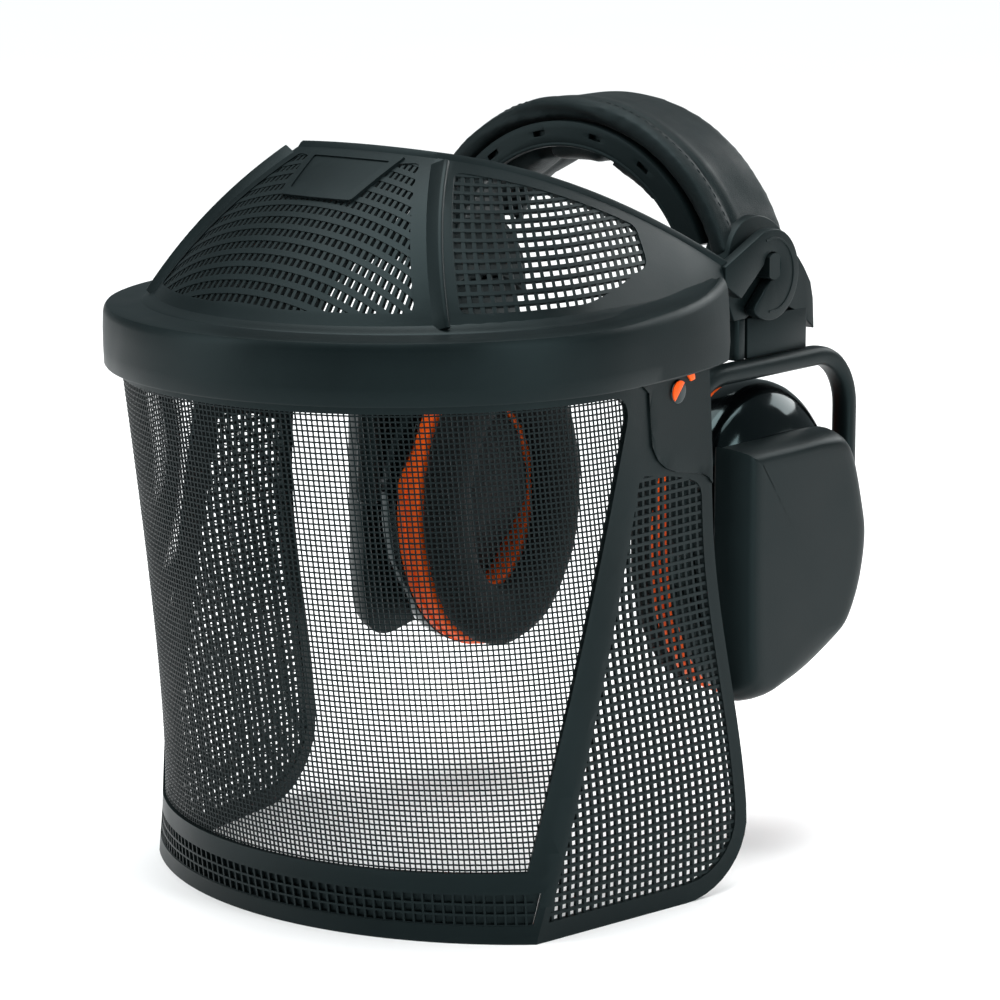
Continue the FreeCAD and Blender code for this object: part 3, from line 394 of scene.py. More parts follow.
def studio_floor(name):
    """Plain pale floor with the slightest mottling."""
    material, tree, shader = shader_material(name, (0.94, 0.94, 0.94), 0.55)
    mottle = object_noise(tree, 3.0, detail=2.0)
    tint(tree, shader, mottle.outputs["Fac"], (0.94, 0.94, 0.94), 0.99, 1.01)
    return material


def finish_for(slot):
    """The material of a slot, made once and then reused."""
    found = bpy.data.materials.get(f"{slot}_finish")
    if found:
        return found
    choice = bpy.context.scene.protector_finishes
    name = f"{slot}_finish"
    makers = {
        "black_plastic": lambda: moulded_plastic(name, choice.plastic),
        "gloss_shell": lambda: polished_plastic(name, choice.gloss),
        "orange_plastic": lambda: moulded_plastic(name, choice.accent, 0.38, 0.00004),
        "sleeve_cloth": lambda: coated_fabric(name, choice.sleeve, 0.0008, 0.55),
        "pad_foam": lambda: coated_fabric(name, choice.sleeve, 0.0011, 0.62),
        "cushion_skin": lambda: woven_fabric(name, choice.cushion),
        "liner_foam": lambda: open_foam(name, choice.foam),
        "mesh_cloth": lambda: moulded_plastic(name, choice.mesh, 0.4, 0.00002),
        "spring_strip": lambda: brushed_steel(name, choice.steel),
        "pin_steel": lambda: brushed_steel(name, choice.steel),
    }
    return makers[slot]()


# ---------------------------------------------------------------- mesh tools
def add_piece(name, bm, body, slot, replaced=(), smooth_angle=35.0):
    """Scale a finished bmesh to metres, make it an object and hand it to the frame."""
    bmesh.ops.scale(bm, vec=(MM, MM, MM), verts=bm.verts)
    mesh = bpy.data.meshes.new(name)
    bm.to_mesh(mesh)
    bm.free()
    mesh.shade_smooth()
    mesh.set_sharp_from_angle(angle=math.radians(smooth_angle))
    piece = bpy.data.objects.new(name, mesh)
    bpy.context.scene.collection.objects.link(piece)
    mesh.materials.append(finish_for(slot))
    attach(piece, body)
    if replaced:
        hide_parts(*replaced)
    return piece


def fill_outline(bm, outline, holes=()):
    """A flat face set inside an outline, less its holes, at height 0."""
    edges = []
    for loop in (outline, *holes):
        corners = [bm.verts.new((u, v, 0.0)) for u, v in loop]
        for start, end in zip(corners, corners[1:] + corners[:1]):
            edges.append(bm.edges.new((start, end)))
    bmesh.ops.triangle_fill(bm, use_beauty=True, use_dissolve=False, edges=edges)


def slice_flat(bm, step_u, step_v, extra_u=()):
    """Cut a flat panel into cells, so that it can be bent."""
    for axis, step in ((0, step_u), (1, step_v)):
        reach = [vert.co[axis] for vert in bm.verts]
        low, high = min(reach), max(reach)
        count = max(int(round((high - low) / step)), 1)
        cuts = [low + (high - low) * number / count for number in range(1, count)]
        if axis == 0:
            cuts += list(extra_u)
        for position in cuts:
            point, normal = Vector((0, 0, 0)), Vector((0, 0, 0))
            point[axis], normal[axis] = position, 1.0
            bmesh.ops.bisect_plane(bm, geom=bm.verts[:] + bm.edges[:] + bm.faces[:], dist=0.001,
                                   plane_co=point, plane_no=normal)
    bmesh.ops.remove_doubles(bm, verts=bm.verts, dist=0.05)


def thicken(bm, thick):
    """Give flat faces, at whatever height they lie, a thickness below them."""
    faces = bm.faces[:]
    for face in faces:
        face.normal_update()
    for face in faces:
        if face.normal.z < 0:
            face.normal_flip()
    made = bmesh.ops.extrude_face_region(bm, geom=faces, use_keep_orig=True)
    lower = [item for item in made["geom"] if isinstance(item, bmesh.types.BMVert)]
    bmesh.ops.translate(bm, vec=(0, 0, -thick), verts=lower)
    bmesh.ops.recalc_face_normals(bm, faces=bm.faces)


def flat_panel(outline, holes, step_u, step_v, thick, extra_u=()):
    """A flat plate with holes, cut into cells of a step or less so that it can be bent."""
    bm = bmesh.new()
    fill_outline(bm, outline, holes)
    slice_flat(bm, step_u, step_v, extra_u)
    thicken(bm, thick)
    return bm


def bend(bm, surface):
    """Lay a flat mesh on a surface: u, v and height become a place in space."""
    for vert in bm.verts:
        vert.co = surface(vert.co.x, vert.co.y, vert.co.z)


def add_ribbon(bm, cells, place):
    """A strip of cells; place(share, side) gives u, v and height, side from -0.5 to 0.5."""
    grid = bmesh.ops.create_grid(bm, x_segments=cells, y_segments=1, size=0.5)
    for vert in grid["verts"]:
        vert.co = place(vert.co.x + 0.5, vert.co.y)


def soften(bm, width, segments=2, angle=40.0):
    """Round every edge sharper than an angle in degrees."""
    limit = math.radians(angle)
    edges = [edge for edge in bm.edges
             if len(edge.link_faces) == 2 and edge.calc_face_angle(0.0) > limit]
    bmesh.ops.bevel(bm, geom=edges, offset=width, offset_type="OFFSET", segments=segments,
                    profile=0.5, affect="EDGES", material=-1, clamp_overlap=True)


def mirror_across(bm):
    """Turn a left piece into its right-hand twin."""
    bmesh.ops.scale(bm, vec=(-1, 1, 1), verts=bm.verts)
    bmesh.ops.reverse_faces(bm, faces=bm.faces)


def both_sides(make, name, body, slot, node, **settings):
    """Make a left piece with make() and its mirrored right twin."""
    for side, sign in SIDES:
        bm = make()
        if sign < 0:
            mirror_across(bm)
        replaced = [f"{side}_{node}"] if node else []
        add_piece(f"{side}_{name}", bm, body.format(side=side), slot, replaced, **settings)


def crossings(polygon, axis, position):
    """Where a straight line through a polygon goes in and out, as pairs."""
    other = 1 - axis
    found = []
    for start, end in zip(polygon, polygon[1:] + polygon[:1]):
        if (start[axis] > position) != (end[axis] > position):
            share = (position - start[axis]) / (end[axis] - start[axis])
            found.append(start[other] + share * (end[other] - start[other]))
    found.sort()
    return list(zip(found[::2], found[1::2]))


def arc_points(centre, radius_u, radius_v, begin, end, count=7):
    """Points of an arc, angles in degrees."""
    points = []
    for number in range(count):
        angle = math.radians(begin + (end - begin) * number / (count - 1))
        points.append((centre[0] + radius_u * math.cos(angle), centre[1] + radius_v * math.sin(angle)))
    return points


def rounded_corners(corners, radius, count=5):
    """Replace each corner of an outline with a curve that starts a radius before it."""
    points = []
    total = len(corners)
    for number, corner in enumerate(corners):
        here = Vector((corner[0], corner[1]))
        before = Vector(corners[number - 1][:2]) - here
        after = Vector(corners[(number + 1) % total][:2]) - here
        cut = min(radius, before.length * 0.45, after.length * 0.45)
        start, end = here + before.normalized() * cut, here + after.normalized() * cut
        for step in range(count):
            t = step / (count - 1)
            point = start * (1 - t) ** 2 + here * 2 * t * (1 - t) + end * t ** 2
            points.append((point.x, point.y))
    return points


def refine(polygon, step=4.0):
    """Add points along an outline's long edges."""
    points = []
    for start, end in zip(polygon, polygon[1:] + polygon[:1]):
        length = math.hypot(end[0] - start[0], end[1] - start[1])
        count = max(int(math.ceil(length / step)), 1)
        for number in range(count):
            share = number / count
            points.append((start[0] + share * (end[0] - start[0]), start[1] + share * (end[1] - start[1])))
    return points


def stack_rings(bm, rings, capped=True):
    """A closed skin through rings of equally many points; both ends are capped."""
    around, along = len(rings[0]), len(rings) - 1
    grid = bmesh.ops.create_grid(bm, x_segments=around, y_segments=along, size=0.5)
    verts = grid["verts"]
    for vert in verts:
        column = int(round((vert.co.x + 0.5) * around)) % around
        row = int(round((vert.co.y + 0.5) * along))
        vert.co = rings[row][column]
    bmesh.ops.remove_doubles(bm, verts=verts, dist=0.0005)
    if capped:
        open_edges = [edge for edge in bm.edges if edge.is_boundary]
        bmesh.ops.holes_fill(bm, edges=open_edges, sides=0)
    bmesh.ops.recalc_face_normals(bm, faces=bm.faces)


def tube(bm, path, radius_out, radius_flat, flat_axis, corners, power):
    """A rounded bar along a path; radius_out is across the path, radius_flat along flat_axis."""
    rings = []
    flat = Vector(flat_axis)
    for number, here in enumerate(path):
        before = path[max(number - 1, 0)]
        after = path[min(number + 1, len(path) - 1)]
        direction = (after - before).normalized()
        across = flat.cross(direction).normalized()
        ring = []
        for step in range(corners):
            angle = 2 * math.pi * step / corners
            c, s = math.cos(angle), math.sin(angle)
            c = math.copysign(abs(c) ** (2 / power), c)
            s = math.copysign(abs(s) ** (2 / power), s)
            ring.append(here + across * radius_out * c + flat * radius_flat * s)
        rings.append(ring)
    stack_rings(bm, rings)


def separate_part(make):
    """Build one closed part in a bmesh of its own, so that its openings are closed apart from others."""
    bm = bmesh.new()
    make(bm)
    return bm


def join_parts(parts):
    """Put several closed parts into one bmesh."""
    whole = bmesh.new()
    for part in parts:
        mesh = bpy.data.meshes.new("part")
        part.to_mesh(mesh)
        part.free()
        whole.from_mesh(mesh)
        bpy.data.meshes.remove(mesh)
    return whole


def block(x, y, z):
    """A softened block between low and high corners, given per axis as pairs."""
    bm = bmesh.new()
    bmesh.ops.create_cube(bm, size=1.0)
    bmesh.ops.scale(bm, vec=(x[1] - x[0], y[1] - y[0], z[1] - z[0]), verts=bm.verts)
    bmesh.ops.translate(bm, vec=((x[0] + x[1]) / 2, (y[0] + y[1]) / 2, (z[0] + z[1]) / 2), verts=bm.verts)
    soften(bm, 0.4)
    return bm


# ---------------------------------------------------------------- face visor
# On the flat, u runs round the visor: 0 in the middle of the front, 100 at the crease
# and 200 at a wing's rear edge. v is the height in space.
CREASE_U = 100.0
VISOR_WALL = 2.0
WINDOW_BORDER = 9.0
WINDOW_CORNER = 9.0
WINDOW_TOP = VISOR_TOP - 9.0
WINDOW_LOW = RIM_Z + 24.0
CELL_LOW, CELL_HIGH = RIM_Z + 6.2, RIM_Z + 17.0
CELL_ROWS = 3
REAR_CORNER_Y, REAR_CORNER_Z = 30.0, 27.0
WING_GRILLE_TOP = -91.0
WING_GRILLE_LOW = RIM_Z + 6.6
WING_GRILLE_REAR = 5.6
MESH_DEPTH = -1.1
MESH_CRIMP = 0.17


def share_at(v):
    """0 at the top of the visor and 1 at its bottom rim."""
    return (VISOR_TOP - v) / VISOR_TALL


def crease(v):
    """The visor's front corner at a height."""
    share = share_at(v)
    return Vector((95.0 + 6.0 * share - 15.0 * share ** 2, -94.0 - 48.0 * share, v))


def wing_rear(v):
    """The rear edge of a wing at a height, swept back low down."""
    share = share_at(v)
    blend = min(max((share - 0.3) / 0.6, 0.0), 1.0)
    sweep = blend * blend * (3.0 - 2.0 * blend)
    return Vector((93.5 + 10.0 * share - 2.0 * share ** 2, -61.0 + 16.0 * sweep, v))


def front_arc(v):
    """Radius, centre along Y and half angle of the visor's front at a height."""
    corner, middle_y = crease(v), -205.0 + 29.5 * share_at(v)
    depth = corner.y - middle_y
    radius = (corner.x ** 2 + depth ** 2) / (2 * depth)
    centre_y = middle_y + radius
    return radius, centre_y, math.atan2(corner.x, centre_y - corner.y)


def half_arc(v):
    """Distance round the front from its middle to the crease."""
    radius, _, half_angle = front_arc(v)
    return radius * half_angle


def wing_width(v):
    """Width of a wing from its crease to its rear edge, at a height."""
    return (wing_rear(v) - crease(v)).length


def front_u(distance, v):
    """Place round the front for a distance from its middle."""
    return CREASE_U * distance / half_arc(v)


def wing_u(from_rear, v):
    """Place on a wing for a distance from its rear edge."""
    return CREASE_U * (2.0 - from_rear / wing_width(v))


def visor_place(u, v, out):
    """A point of the visor, out from its outer face."""
    reach = abs(u) / CREASE_U
    radius, centre_y, half_angle = front_arc(v)
    corner, rear = crease(v), wing_rear(v)
    along = rear - corner
    angle = min(reach, 1.0) * half_angle
    front_out = Vector((math.sin(angle), -math.cos(angle), 0.0))
    wing_out = Vector((along.y, -along.x, 0.0)).normalized()
    weight = min(max((reach - 0.98) / 0.04, 0.0), 1.0)
    normal = front_out.lerp(wing_out, weight).normalized()
    if reach <= 1.0:
        point = Vector((radius * math.sin(angle), centre_y - radius * math.cos(angle), v))
    else:
        point = corner + along * (reach - 1.0)
    point += normal * out
    point.x *= 1.0 if u >= 0 else -1.0
    return point


def whole_outline(half):
    """Both halves of an outline given from the top middle to the bottom middle, u above 0."""
    return half + [(-u, v) for u, v in reversed(half)]


def visor_outline():
    """The visor's own outline, with its large rear bottom corners."""
    heights = [VISOR_TOP - VISOR_TALL * 0.84 * number / 12 for number in range(13)]
    half = [(2 * CREASE_U, v) for v in heights]
    for number in range(1, 11):
        angle = math.pi / 2 * number / 10
        v = RIM_Z + REAR_CORNER_Z * (1 - math.sin(angle))
        half.append((wing_u(REAR_CORNER_Y * (1 - math.cos(angle)), v), v))
    return whole_outline(half)


def window_half_width(v):
    """Distance from the middle of the front to the window's upright side."""
    return half_arc(v) - WINDOW_BORDER


def window_outline(grow=0.0):
    """The mesh window, as distance round the front and height."""
    corner = WINDOW_CORNER
    top, low = WINDOW_TOP + grow, WINDOW_LOW - grow
    half = []
    for number in range(7):
        angle = math.pi / 2 * (1 - number / 6)
        v = top - corner * (1 - math.sin(angle))
        half.append((window_half_width(v) + grow - corner * (1 - math.cos(angle)), v))
    for number in range(1, 9):
        v = top - corner + (low - top + corner) * number / 8
        half.append((window_half_width(v) + grow, v))
    return whole_outline(half)


def wing_outline(grow=0.0):
    """A wing's grille opening, as distance from the rear edge and height."""
    def by_crease(v):
        """The grille's edge beside the crease."""
        return wing_width(v) - 3.2 + grow

    low, top = WING_GRILLE_LOW - grow, WING_GRILLE_TOP + grow
    near = WING_GRILLE_REAR - grow
    points = []
    for number in range(9):
        v = low + (top - low) * number / 8
        points.append((by_crease(v), v))
    top_front = by_crease(top + 1.5) - 2.0
    points += [(top_front, top + 1.7), (24.0, top), (12.5, top - 2.6), (near + 2.6, top - 4.6),
               (near + 0.7, top - 6.6), (near, top - 10.0)]
    points += [(near, -120.0), (near, -150.0), (near, -180.0)]
    for number in range(8):
        angle = math.pi / 2 * number / 7
        points.append((near + 24.0 * (1 - math.cos(angle)), low + 21.0 * (1 - math.sin(angle))))
    return points


def flange_outline():
    """The raised plate at the top of a wing, as distance from the rear edge and height."""
    width = wing_width(-75.0)
    return [(0.3, VISOR_TOP - 0.4), (0.3, -97.0), (2.4, -94.6), (5.5, -93.0), (12.0, -91.8), (20.0, -90.4),
            (26.0, -88.2), (30.5, -84.8), (width - 5.2, -80.0), (width - 4.6, -74.0), (width - 3.4, -62.0),
            (width - 2.4, VISOR_TOP - 0.4)]


def build_visor_frame():
    """Border, wings, grilles and rim of the visor as one moulding."""
    sizes = bpy.context.scene.protector_meshwork
    to_front = [(front_u(a, v), v) for a, v in window_outline()]
    cells_half = [(half_arc(v) - 2.6, v) for v in (CELL_HIGH, CELL_LOW)]
    cells = [(front_u(a, v), v) for a, v in refine(whole_outline(cells_half), 12.0)]
    wings = []
    for sign in (1, -1):
        wings.append([(sign * wing_u(d, v), v) for d, v in wing_outline()])
    plate = flat_panel(visor_outline(), [to_front, cells] + wings, 5.0, 6.0, VISOR_WALL,
                       (-CREASE_U, CREASE_U))
    bend(plate, visor_place)
    parts = [plate]

    for sign in (1, -1):
        raised = flat_panel([(sign * wing_u(d, v), v) for d, v in flange_outline()], [], 8.0, 8.0, 1.2)
        bmesh.ops.translate(raised, vec=(0, 0, 0.75), verts=raised.verts)
        bend(raised, visor_place)
        soften(raised, 0.35)
        parts.append(raised)

    bars = bmesh.new()
    bar = sizes.wing_bar / MM
    row_pitch, column_pitch = sizes.wing_row / MM, sizes.wing_column / MM
    opening = wing_outline(0.9)
    highest = max(v for _, v in opening)
    widest = max(d for d, _ in opening)
    for sign in (1, -1):
        row = WING_GRILLE_LOW + row_pitch * 0.8
        while row < highest:
            for start, end in crossings(opening, 1, row):
                cells_here = max(int((end - start) / 7), 1)
                add_ribbon(bars, cells_here, lambda share, side, a=start, b=end, v=row: Vector(
                    (sign * wing_u(a + (b - a) * share, v), v + side * bar, -0.35)))
            row += row_pitch
        column = WING_GRILLE_REAR + column_pitch * 0.7
        while column < widest:
            for start, end in crossings(opening, 0, column):
                cells_here = max(int((end - start) / 7), 1)
                add_ribbon(bars, cells_here, lambda share, side, a=start, b=end, d=column: Vector(
                    (sign * wing_u(d + side * bar, a + (b - a) * share), a + (b - a) * share, -0.5)))
            column += column_pitch
    thicken(bars, 1.2)
    bend(bars, visor_place)
    parts.append(bars)

    parts.append(rim_cells(sizes.rim_cell / MM))
    return join_parts(parts)


def rim_cells(pitch):
    """Three rows of square cells moulded into the bottom border, closed at the back."""
    bm = bmesh.new()
    wall = 0.75
    reach = half_arc(CELL_LOW) - 2.0
    for number in range(CELL_ROWS + 1):
        v = CELL_LOW + (CELL_HIGH - CELL_LOW) * number / CELL_ROWS
        add_ribbon(bm, 48, lambda share, side, v=v: Vector(
            (front_u(-reach + 2 * reach * share, v), v + side * wall, -0.25)))
    count = int(reach / pitch)
    for number in range(-count, count + 1):
        add_ribbon(bm, 2, lambda share, side, a=number * pitch: Vector(
            (front_u(a + side * wall, CELL_LOW + (CELL_HIGH - CELL_LOW) * share),
             CELL_LOW - 0.3 + (CELL_HIGH - CELL_LOW + 0.6) * share, -0.32)))
    thicken(bm, 1.2)
    bend(bm, visor_place)
    back = bmesh.new()
    add_ribbon(back, 48, lambda share, side: Vector(
        (front_u((-1 + 2 * share) * (reach + 1.0), (CELL_LOW + CELL_HIGH) / 2),
         (CELL_LOW + CELL_HIGH) / 2 + side * (CELL_HIGH - CELL_LOW + 1.4), -1.5)))
    thicken(back, 0.45)
    bend(back, visor_place)
    return join_parts([bm, back])


def build_visor_mesh():
    """The woven mesh: straight upright wires, and level wires that pass before and behind them."""
    sizes = bpy.context.scene.protector_meshwork
    pitch, wire = sizes.wire_pitch / MM, sizes.wire / MM
    outline = window_outline(1.3)
    bm = bmesh.new()
    reach = int(max(a for a, _ in outline) / pitch)
    for number in range(-reach, reach + 1):
        for low, high in crossings(outline, 0, number * pitch):
            cells_here = max(int((high - low) / 11), 1)
            add_ribbon(bm, cells_here, lambda share, side, a=number * pitch, v0=low, v1=high: Vector(
                (front_u(a + side * wire, v0 + (v1 - v0) * share), v0 + (v1 - v0) * share, MESH_DEPTH)))
    low, high = WINDOW_LOW - 1.0, WINDOW_TOP + 1.0
    rows = int((high - low) / pitch)
    for row in range(rows + 1):
        v = low + row * pitch
        half = max((end for _, end in crossings(outline, 1, v)), default=0.0)
        count = int(half / pitch)
        if count < 1:
            continue
        add_ribbon(bm, 2 * count, lambda share, side, v=v, n=count, row=row: Vector(
            (front_u((2 * n * share - n) * pitch, v), v + side * wire,
             MESH_DEPTH + MESH_CRIMP * (1 if (int(round(2 * n * share)) - n + row) % 2 else -1))))
    thicken(bm, wire * 0.8)
    bend(bm, visor_place)
    return bm


# ---------------------------------------------------------------- brow guard and peak
# On the flat, u runs round the guard: 0 in the middle of the front, 100 at the ridge and
# 200 at the hub. v runs from 0 at the base to 100 at the top edge.
GUARD_RADIUS, GUARD_WALL = 84.0, 2.4
RIDGE_AT, HUB_AT = 0.325, 0.985
RIDGE_TOP = Vector((30.0, -124.0, 13.6))
HUB_TOP = Vector((74.5, -24.0, -29.5))
SIDE_MIDDLE_TOP = Vector((53.0, -74.0, -1.5))
FRONT_HEIGHT, SIDE_LENGTH = 62.0, 140.0
FRONT_INWARD = Vector((0.0, 0.8, -0.6))
# A column of the front grille draws in towards the top by this share of its place per unit of height share.
COLUMN_DRAW_IN = 0.0024
ROW_SAG = 17.0
SIDE_GRILLE_LOW = 6.4


def outline_point(radius, along, height, taper=10.0, rear=-20.0):
    """A point of a U outline, a half circle in front and drawn-in sides; along runs from -1 to 1."""
    quarter = math.pi / 2 * radius
    straight = rear - ROUND_Y
    reach = abs(along) * (quarter + straight)
    sign = 1.0 if along >= 0 else -1.0
    if reach <= quarter:
        angle = reach / radius
        return Vector((sign * radius * math.sin(angle), ROUND_Y - radius * math.cos(angle), height))
    share = (reach - quarter) / straight
    return Vector((sign * (radius - taper * share ** 3), ROUND_Y + share * straight, height))


def guard_section(u):
    """Base, top, inward direction and bulge of the guard at a place round it, for u above 0."""
    if u <= CREASE_U:
        share = u / CREASE_U
        base = outline_point(GUARD_RADIUS, share * RIDGE_AT, GUARD_BASE)
        top = Vector((share * RIDGE_TOP.x, RIDGE_TOP.y - 2.5 * (1 - share * share),
                      RIDGE_TOP.z + 1.0 * (1 - share * share)))
        return base, top, FRONT_INWARD.copy(), 5.0
    share = min(u / CREASE_U - 1.0, 1.0)
    base = outline_point(GUARD_RADIUS, RIDGE_AT + share * (HUB_AT - RIDGE_AT), GUARD_BASE)
    control = (SIDE_MIDDLE_TOP - RIDGE_TOP * 0.25 - HUB_TOP * 0.25) * 2.0
    top = RIDGE_TOP * (1 - share) ** 2 + control * 2 * share * (1 - share) + HUB_TOP * share ** 2
    middle = (base + top) * 0.5
    level = Vector((-middle.x, max(ROUND_Y - middle.y, 0.0), 0.0)).normalized()
    inward = Vector((level.x, level.y, -0.55)).normalized() * share
    inward = (inward + FRONT_INWARD * (1 - share)).normalized()
    return base, top, inward, 5.0 - 4.5 * share


def guard_place(u, v, out):
    """A point of the guard, out from its outer face."""
    base, top, inward, bulge = guard_section(abs(u))
    share = v / 100.0
    point = base.lerp(top, share) - inward * (bulge * 4 * share * (1 - share) + out)
    if u < 0:
        point.x = -point.x
    return point


def guard_half(v):
    """Distance round the front from its middle to the ridge, at a height share."""
    places = [guard_place(CREASE_U * number / 8, v, 0.0) for number in range(9)]
    return sum((after - before).length for before, after in zip(places, places[1:]))


guard_halves = [guard_half(10.0 * number) for number in range(11)]


def guard_half_at(v):
    """The same distance, read between the ten heights at which it was measured."""
    place = min(max(v / 10.0, 0.0), 9.999)
    low = int(place)
    return guard_halves[low] + (guard_halves[low + 1] - guard_halves[low]) * (place - low)


def guard_u(distance, v):
    """Place round the front panel for a distance from its middle."""
    return CREASE_U * distance / guard_half_at(v)


def guard_edge(v, border):
    """Distance from the middle of the front to a line beside the ridge."""
    return guard_half_at(v) - border


def front_grille_outline(grow=0.0):
    """The front grille, as distance from the middle and height share; the badge plate notches its top."""
    per_mm = 100.0 / FRONT_HEIGHT
    low, high = 9.5 - grow * per_mm, 93.0 + grow * per_mm
    notch = 67.0 + grow * per_mm
    half = [(0.0, notch), (14.6 - grow, notch), (18.6 - grow, 91.0 + grow * per_mm)]
    half.append((guard_edge(high, 6.2 - grow), high))
    for number in range(1, 9):
        v = high + (low - high) * number / 8
        half.append((guard_edge(v, 6.6 - grow), v))
    half.append((0.0, low))
    right = half[1:-1]
    return right + [(-a, v) for a, v in reversed(right)]


def side_height(u):
    """Height of the side panel in millimetres at a place round it."""
    base, top, _, _ = guard_section(u)
    return (top - base).length


def side_outline(grow=0.0):
    """A side grille, as u and height above the base in millimetres."""
    low = SIDE_GRILLE_LOW - grow
    start, corner, tip = 105.6 - grow * 0.7, 140.0 + grow * 0.7, 164.0 + grow * 0.9
    points = [(start + (corner - start) * number / 6, low) for number in range(7)]
    points += [(148.0 + grow * 0.6, low + 2.4), (156.0 + grow * 0.6, low + 6.4), (tip, low + 10.0)]
    for number in range(9):
        u = tip + (start - tip) * number / 8
        points.append((u, max(side_height(u) - 7.5 + grow, low + 11.5 + grow)))
    return points


def side_v(u, height):
    """Height share of the side panel for a height in millimetres."""
    return 100.0 * height / side_height(u)


def build_brow_guard():
    """The vented guard: one bent panel, its grilles, ridges, rims and badge plate."""
    sizes = bpy.context.scene.protector_meshwork
    pitch, bar = sizes.guard_pitch / MM, sizes.guard_bar / MM
    corners = [(-200.0, 0.0), (200.0, 0.0), (200.0, 100.0), (-200.0, 100.0)]
    front = rounded_corners(front_grille_outline(), 2.5, 4)
    holes = [[(guard_u(a, v), v) for a, v in front]]
    for sign in (1, -1):
        side = rounded_corners(side_outline(), 3.0, 4)
        holes.append([(sign * u, side_v(u, height)) for u, height in side])
    plate = flat_panel(corners, holes, 5.0, 8.0, GUARD_WALL, (-CREASE_U, CREASE_U))
    bend(plate, guard_place)
    parts = [plate]

    bars = bmesh.new()
    per_mm = 100.0 / FRONT_HEIGHT

    def bowed(a, v):
        """Which row passes a place, because the rows sag towards the ridges."""
        return v + ROW_SAG * (a / 60.0) ** 2 * per_mm

    def leant(a, v):
        """Where at the base a column starts that passes a, because columns draw in towards the top."""
        return a / (1.0 - COLUMN_DRAW_IN * v)

    outline = refine(front_grille_outline(0.9), 3.0)
    upright = [(leant(a, v), v) for a, v in outline]
    opening = [(a, bowed(a, v)) for a, v in outline]
    column_pitch, thin = pitch * 0.68, bar * 0.86
    count = int(max(a for a, _ in upright) / column_pitch)
    for number in range(-count - 1, count + 1):
        start = (number + 0.5) * column_pitch
        for low, high in crossings(upright, 0, start):
            def rising(share, side, a=start, b=low, e=high):
                v = b + (e - b) * share
                place = a * (1.0 - COLUMN_DRAW_IN * v) + side * thin
                return Vector((guard_u(place, v), v, -0.5))
            add_ribbon(bars, max(int((high - low) / 10), 1), rising)
    row = min(v for _, v in opening) + 1.5
    while row < max(v for _, v in opening):
        for low, high in crossings(opening, 1, row):
            def level(share, side, b=low, e=high, row=row):
                a = b + (e - b) * share
                v = row - bowed(a, 0.0) + side * bar * 1.25 * per_mm
                return Vector((guard_u(a, v), v, -0.3))
            add_ribbon(bars, max(int((high - low) / 4), 1), level)
        row += pitch * per_mm
    for sign in (1, -1):
        opening = refine(side_outline(0.9), 3.0)
        per_u = SIDE_LENGTH / 100.0
        u = 108.0
        while u < max(place for place, _ in opening):
            for low, high in crossings(opening, 0, u):
                def upward(share, side, u=u, b=low, e=high):
                    return Vector((sign * (u + side * bar / per_u), side_v(u, b + (e - b) * share), -0.5))
                add_ribbon(bars, max(int((high - low) / 6), 1), upward)
            u += pitch * 0.93 / per_u
        height = SIDE_GRILLE_LOW + pitch * 0.8
        while height < max(tall for _, tall in opening):
            for low, high in crossings(opening, 1, height):
                def along(share, side, b=low, e=high, height=height):
                    u = b + (e - b) * share
                    return Vector((sign * u, side_v(u, height + side * bar), -0.3))
                add_ribbon(bars, max(int((high - low) / 4), 1), along)
            height += pitch
    thicken(bars, 1.4)
    bend(bars, guard_place)
    parts.append(bars)

    ridge_section = [(-4.5, -1.2), (-4.5, 0.0), (-3.6, 0.65), (3.4, 0.65), (4.3, 0.0), (4.3, -1.2)]
    for sign in (1, -1):
        rings = []
        for number in range(15):
            v = 1.0 + 93.0 * number / 14
            here = guard_place(sign * CREASE_U, v, 0.0)
            ahead = guard_place(sign * CREASE_U, v + 0.5, 0.0)
            rise = (ahead - here).normalized()
            inward = guard_section(CREASE_U)[2]
            side = rise.cross(-inward).normalized()
            out = side.cross(rise).normalized()
            rings.append([here + side * s + out * t for s, t in ridge_section])
        ridge = separate_part(lambda bm: stack_rings(bm, rings))
        soften(ridge, 0.3, 2, 30.0)
        parts.append(ridge)

    lip_section = [(-1.6, 0.5), (0.2, 1.1), (1.2, 0.9), (1.5, 0.0), (1.2, -2.6), (0.0, -2.9), (-1.6, -2.8)]
    lip_end, skirt_end = 199.0, 194.0
    rings = []
    for number in range(81):
        u = -lip_end + 2 * lip_end * number / 80
        base, top, inward, _ = guard_section(abs(u))
        if u < 0:
            base.x, top.x, inward.x = -base.x, -top.x, -inward.x
        rise = (top - base).normalized()
        rings.append([top + rise * (s - 0.6) - inward * t for s, t in lip_section])
    parts.append(separate_part(lambda bm: stack_rings(bm, rings)))

    skirt_section = [(6.2, 0.15), (3.4, 0.8), (1.6, 1.9), (0.9, 3.0), (0.0, 3.2), (-0.6, 3.0), (-0.6, -1.5),
                     (6.2, -1.2)]
    rings = []
    for number in range(81):
        u = -skirt_end + 2 * skirt_end * number / 80
        base, top, _, _ = guard_section(abs(u))
        if u < 0:
            base.x, top.x = -base.x, -top.x
        rise = (top - base).normalized()
        level = Vector((base.x, min(base.y - ROUND_Y, 0.0), 0.0)).normalized()
        rings.append([base + rise * s + level * t for s, t in skirt_section])
    parts.append(separate_part(lambda bm: stack_rings(bm, rings)))

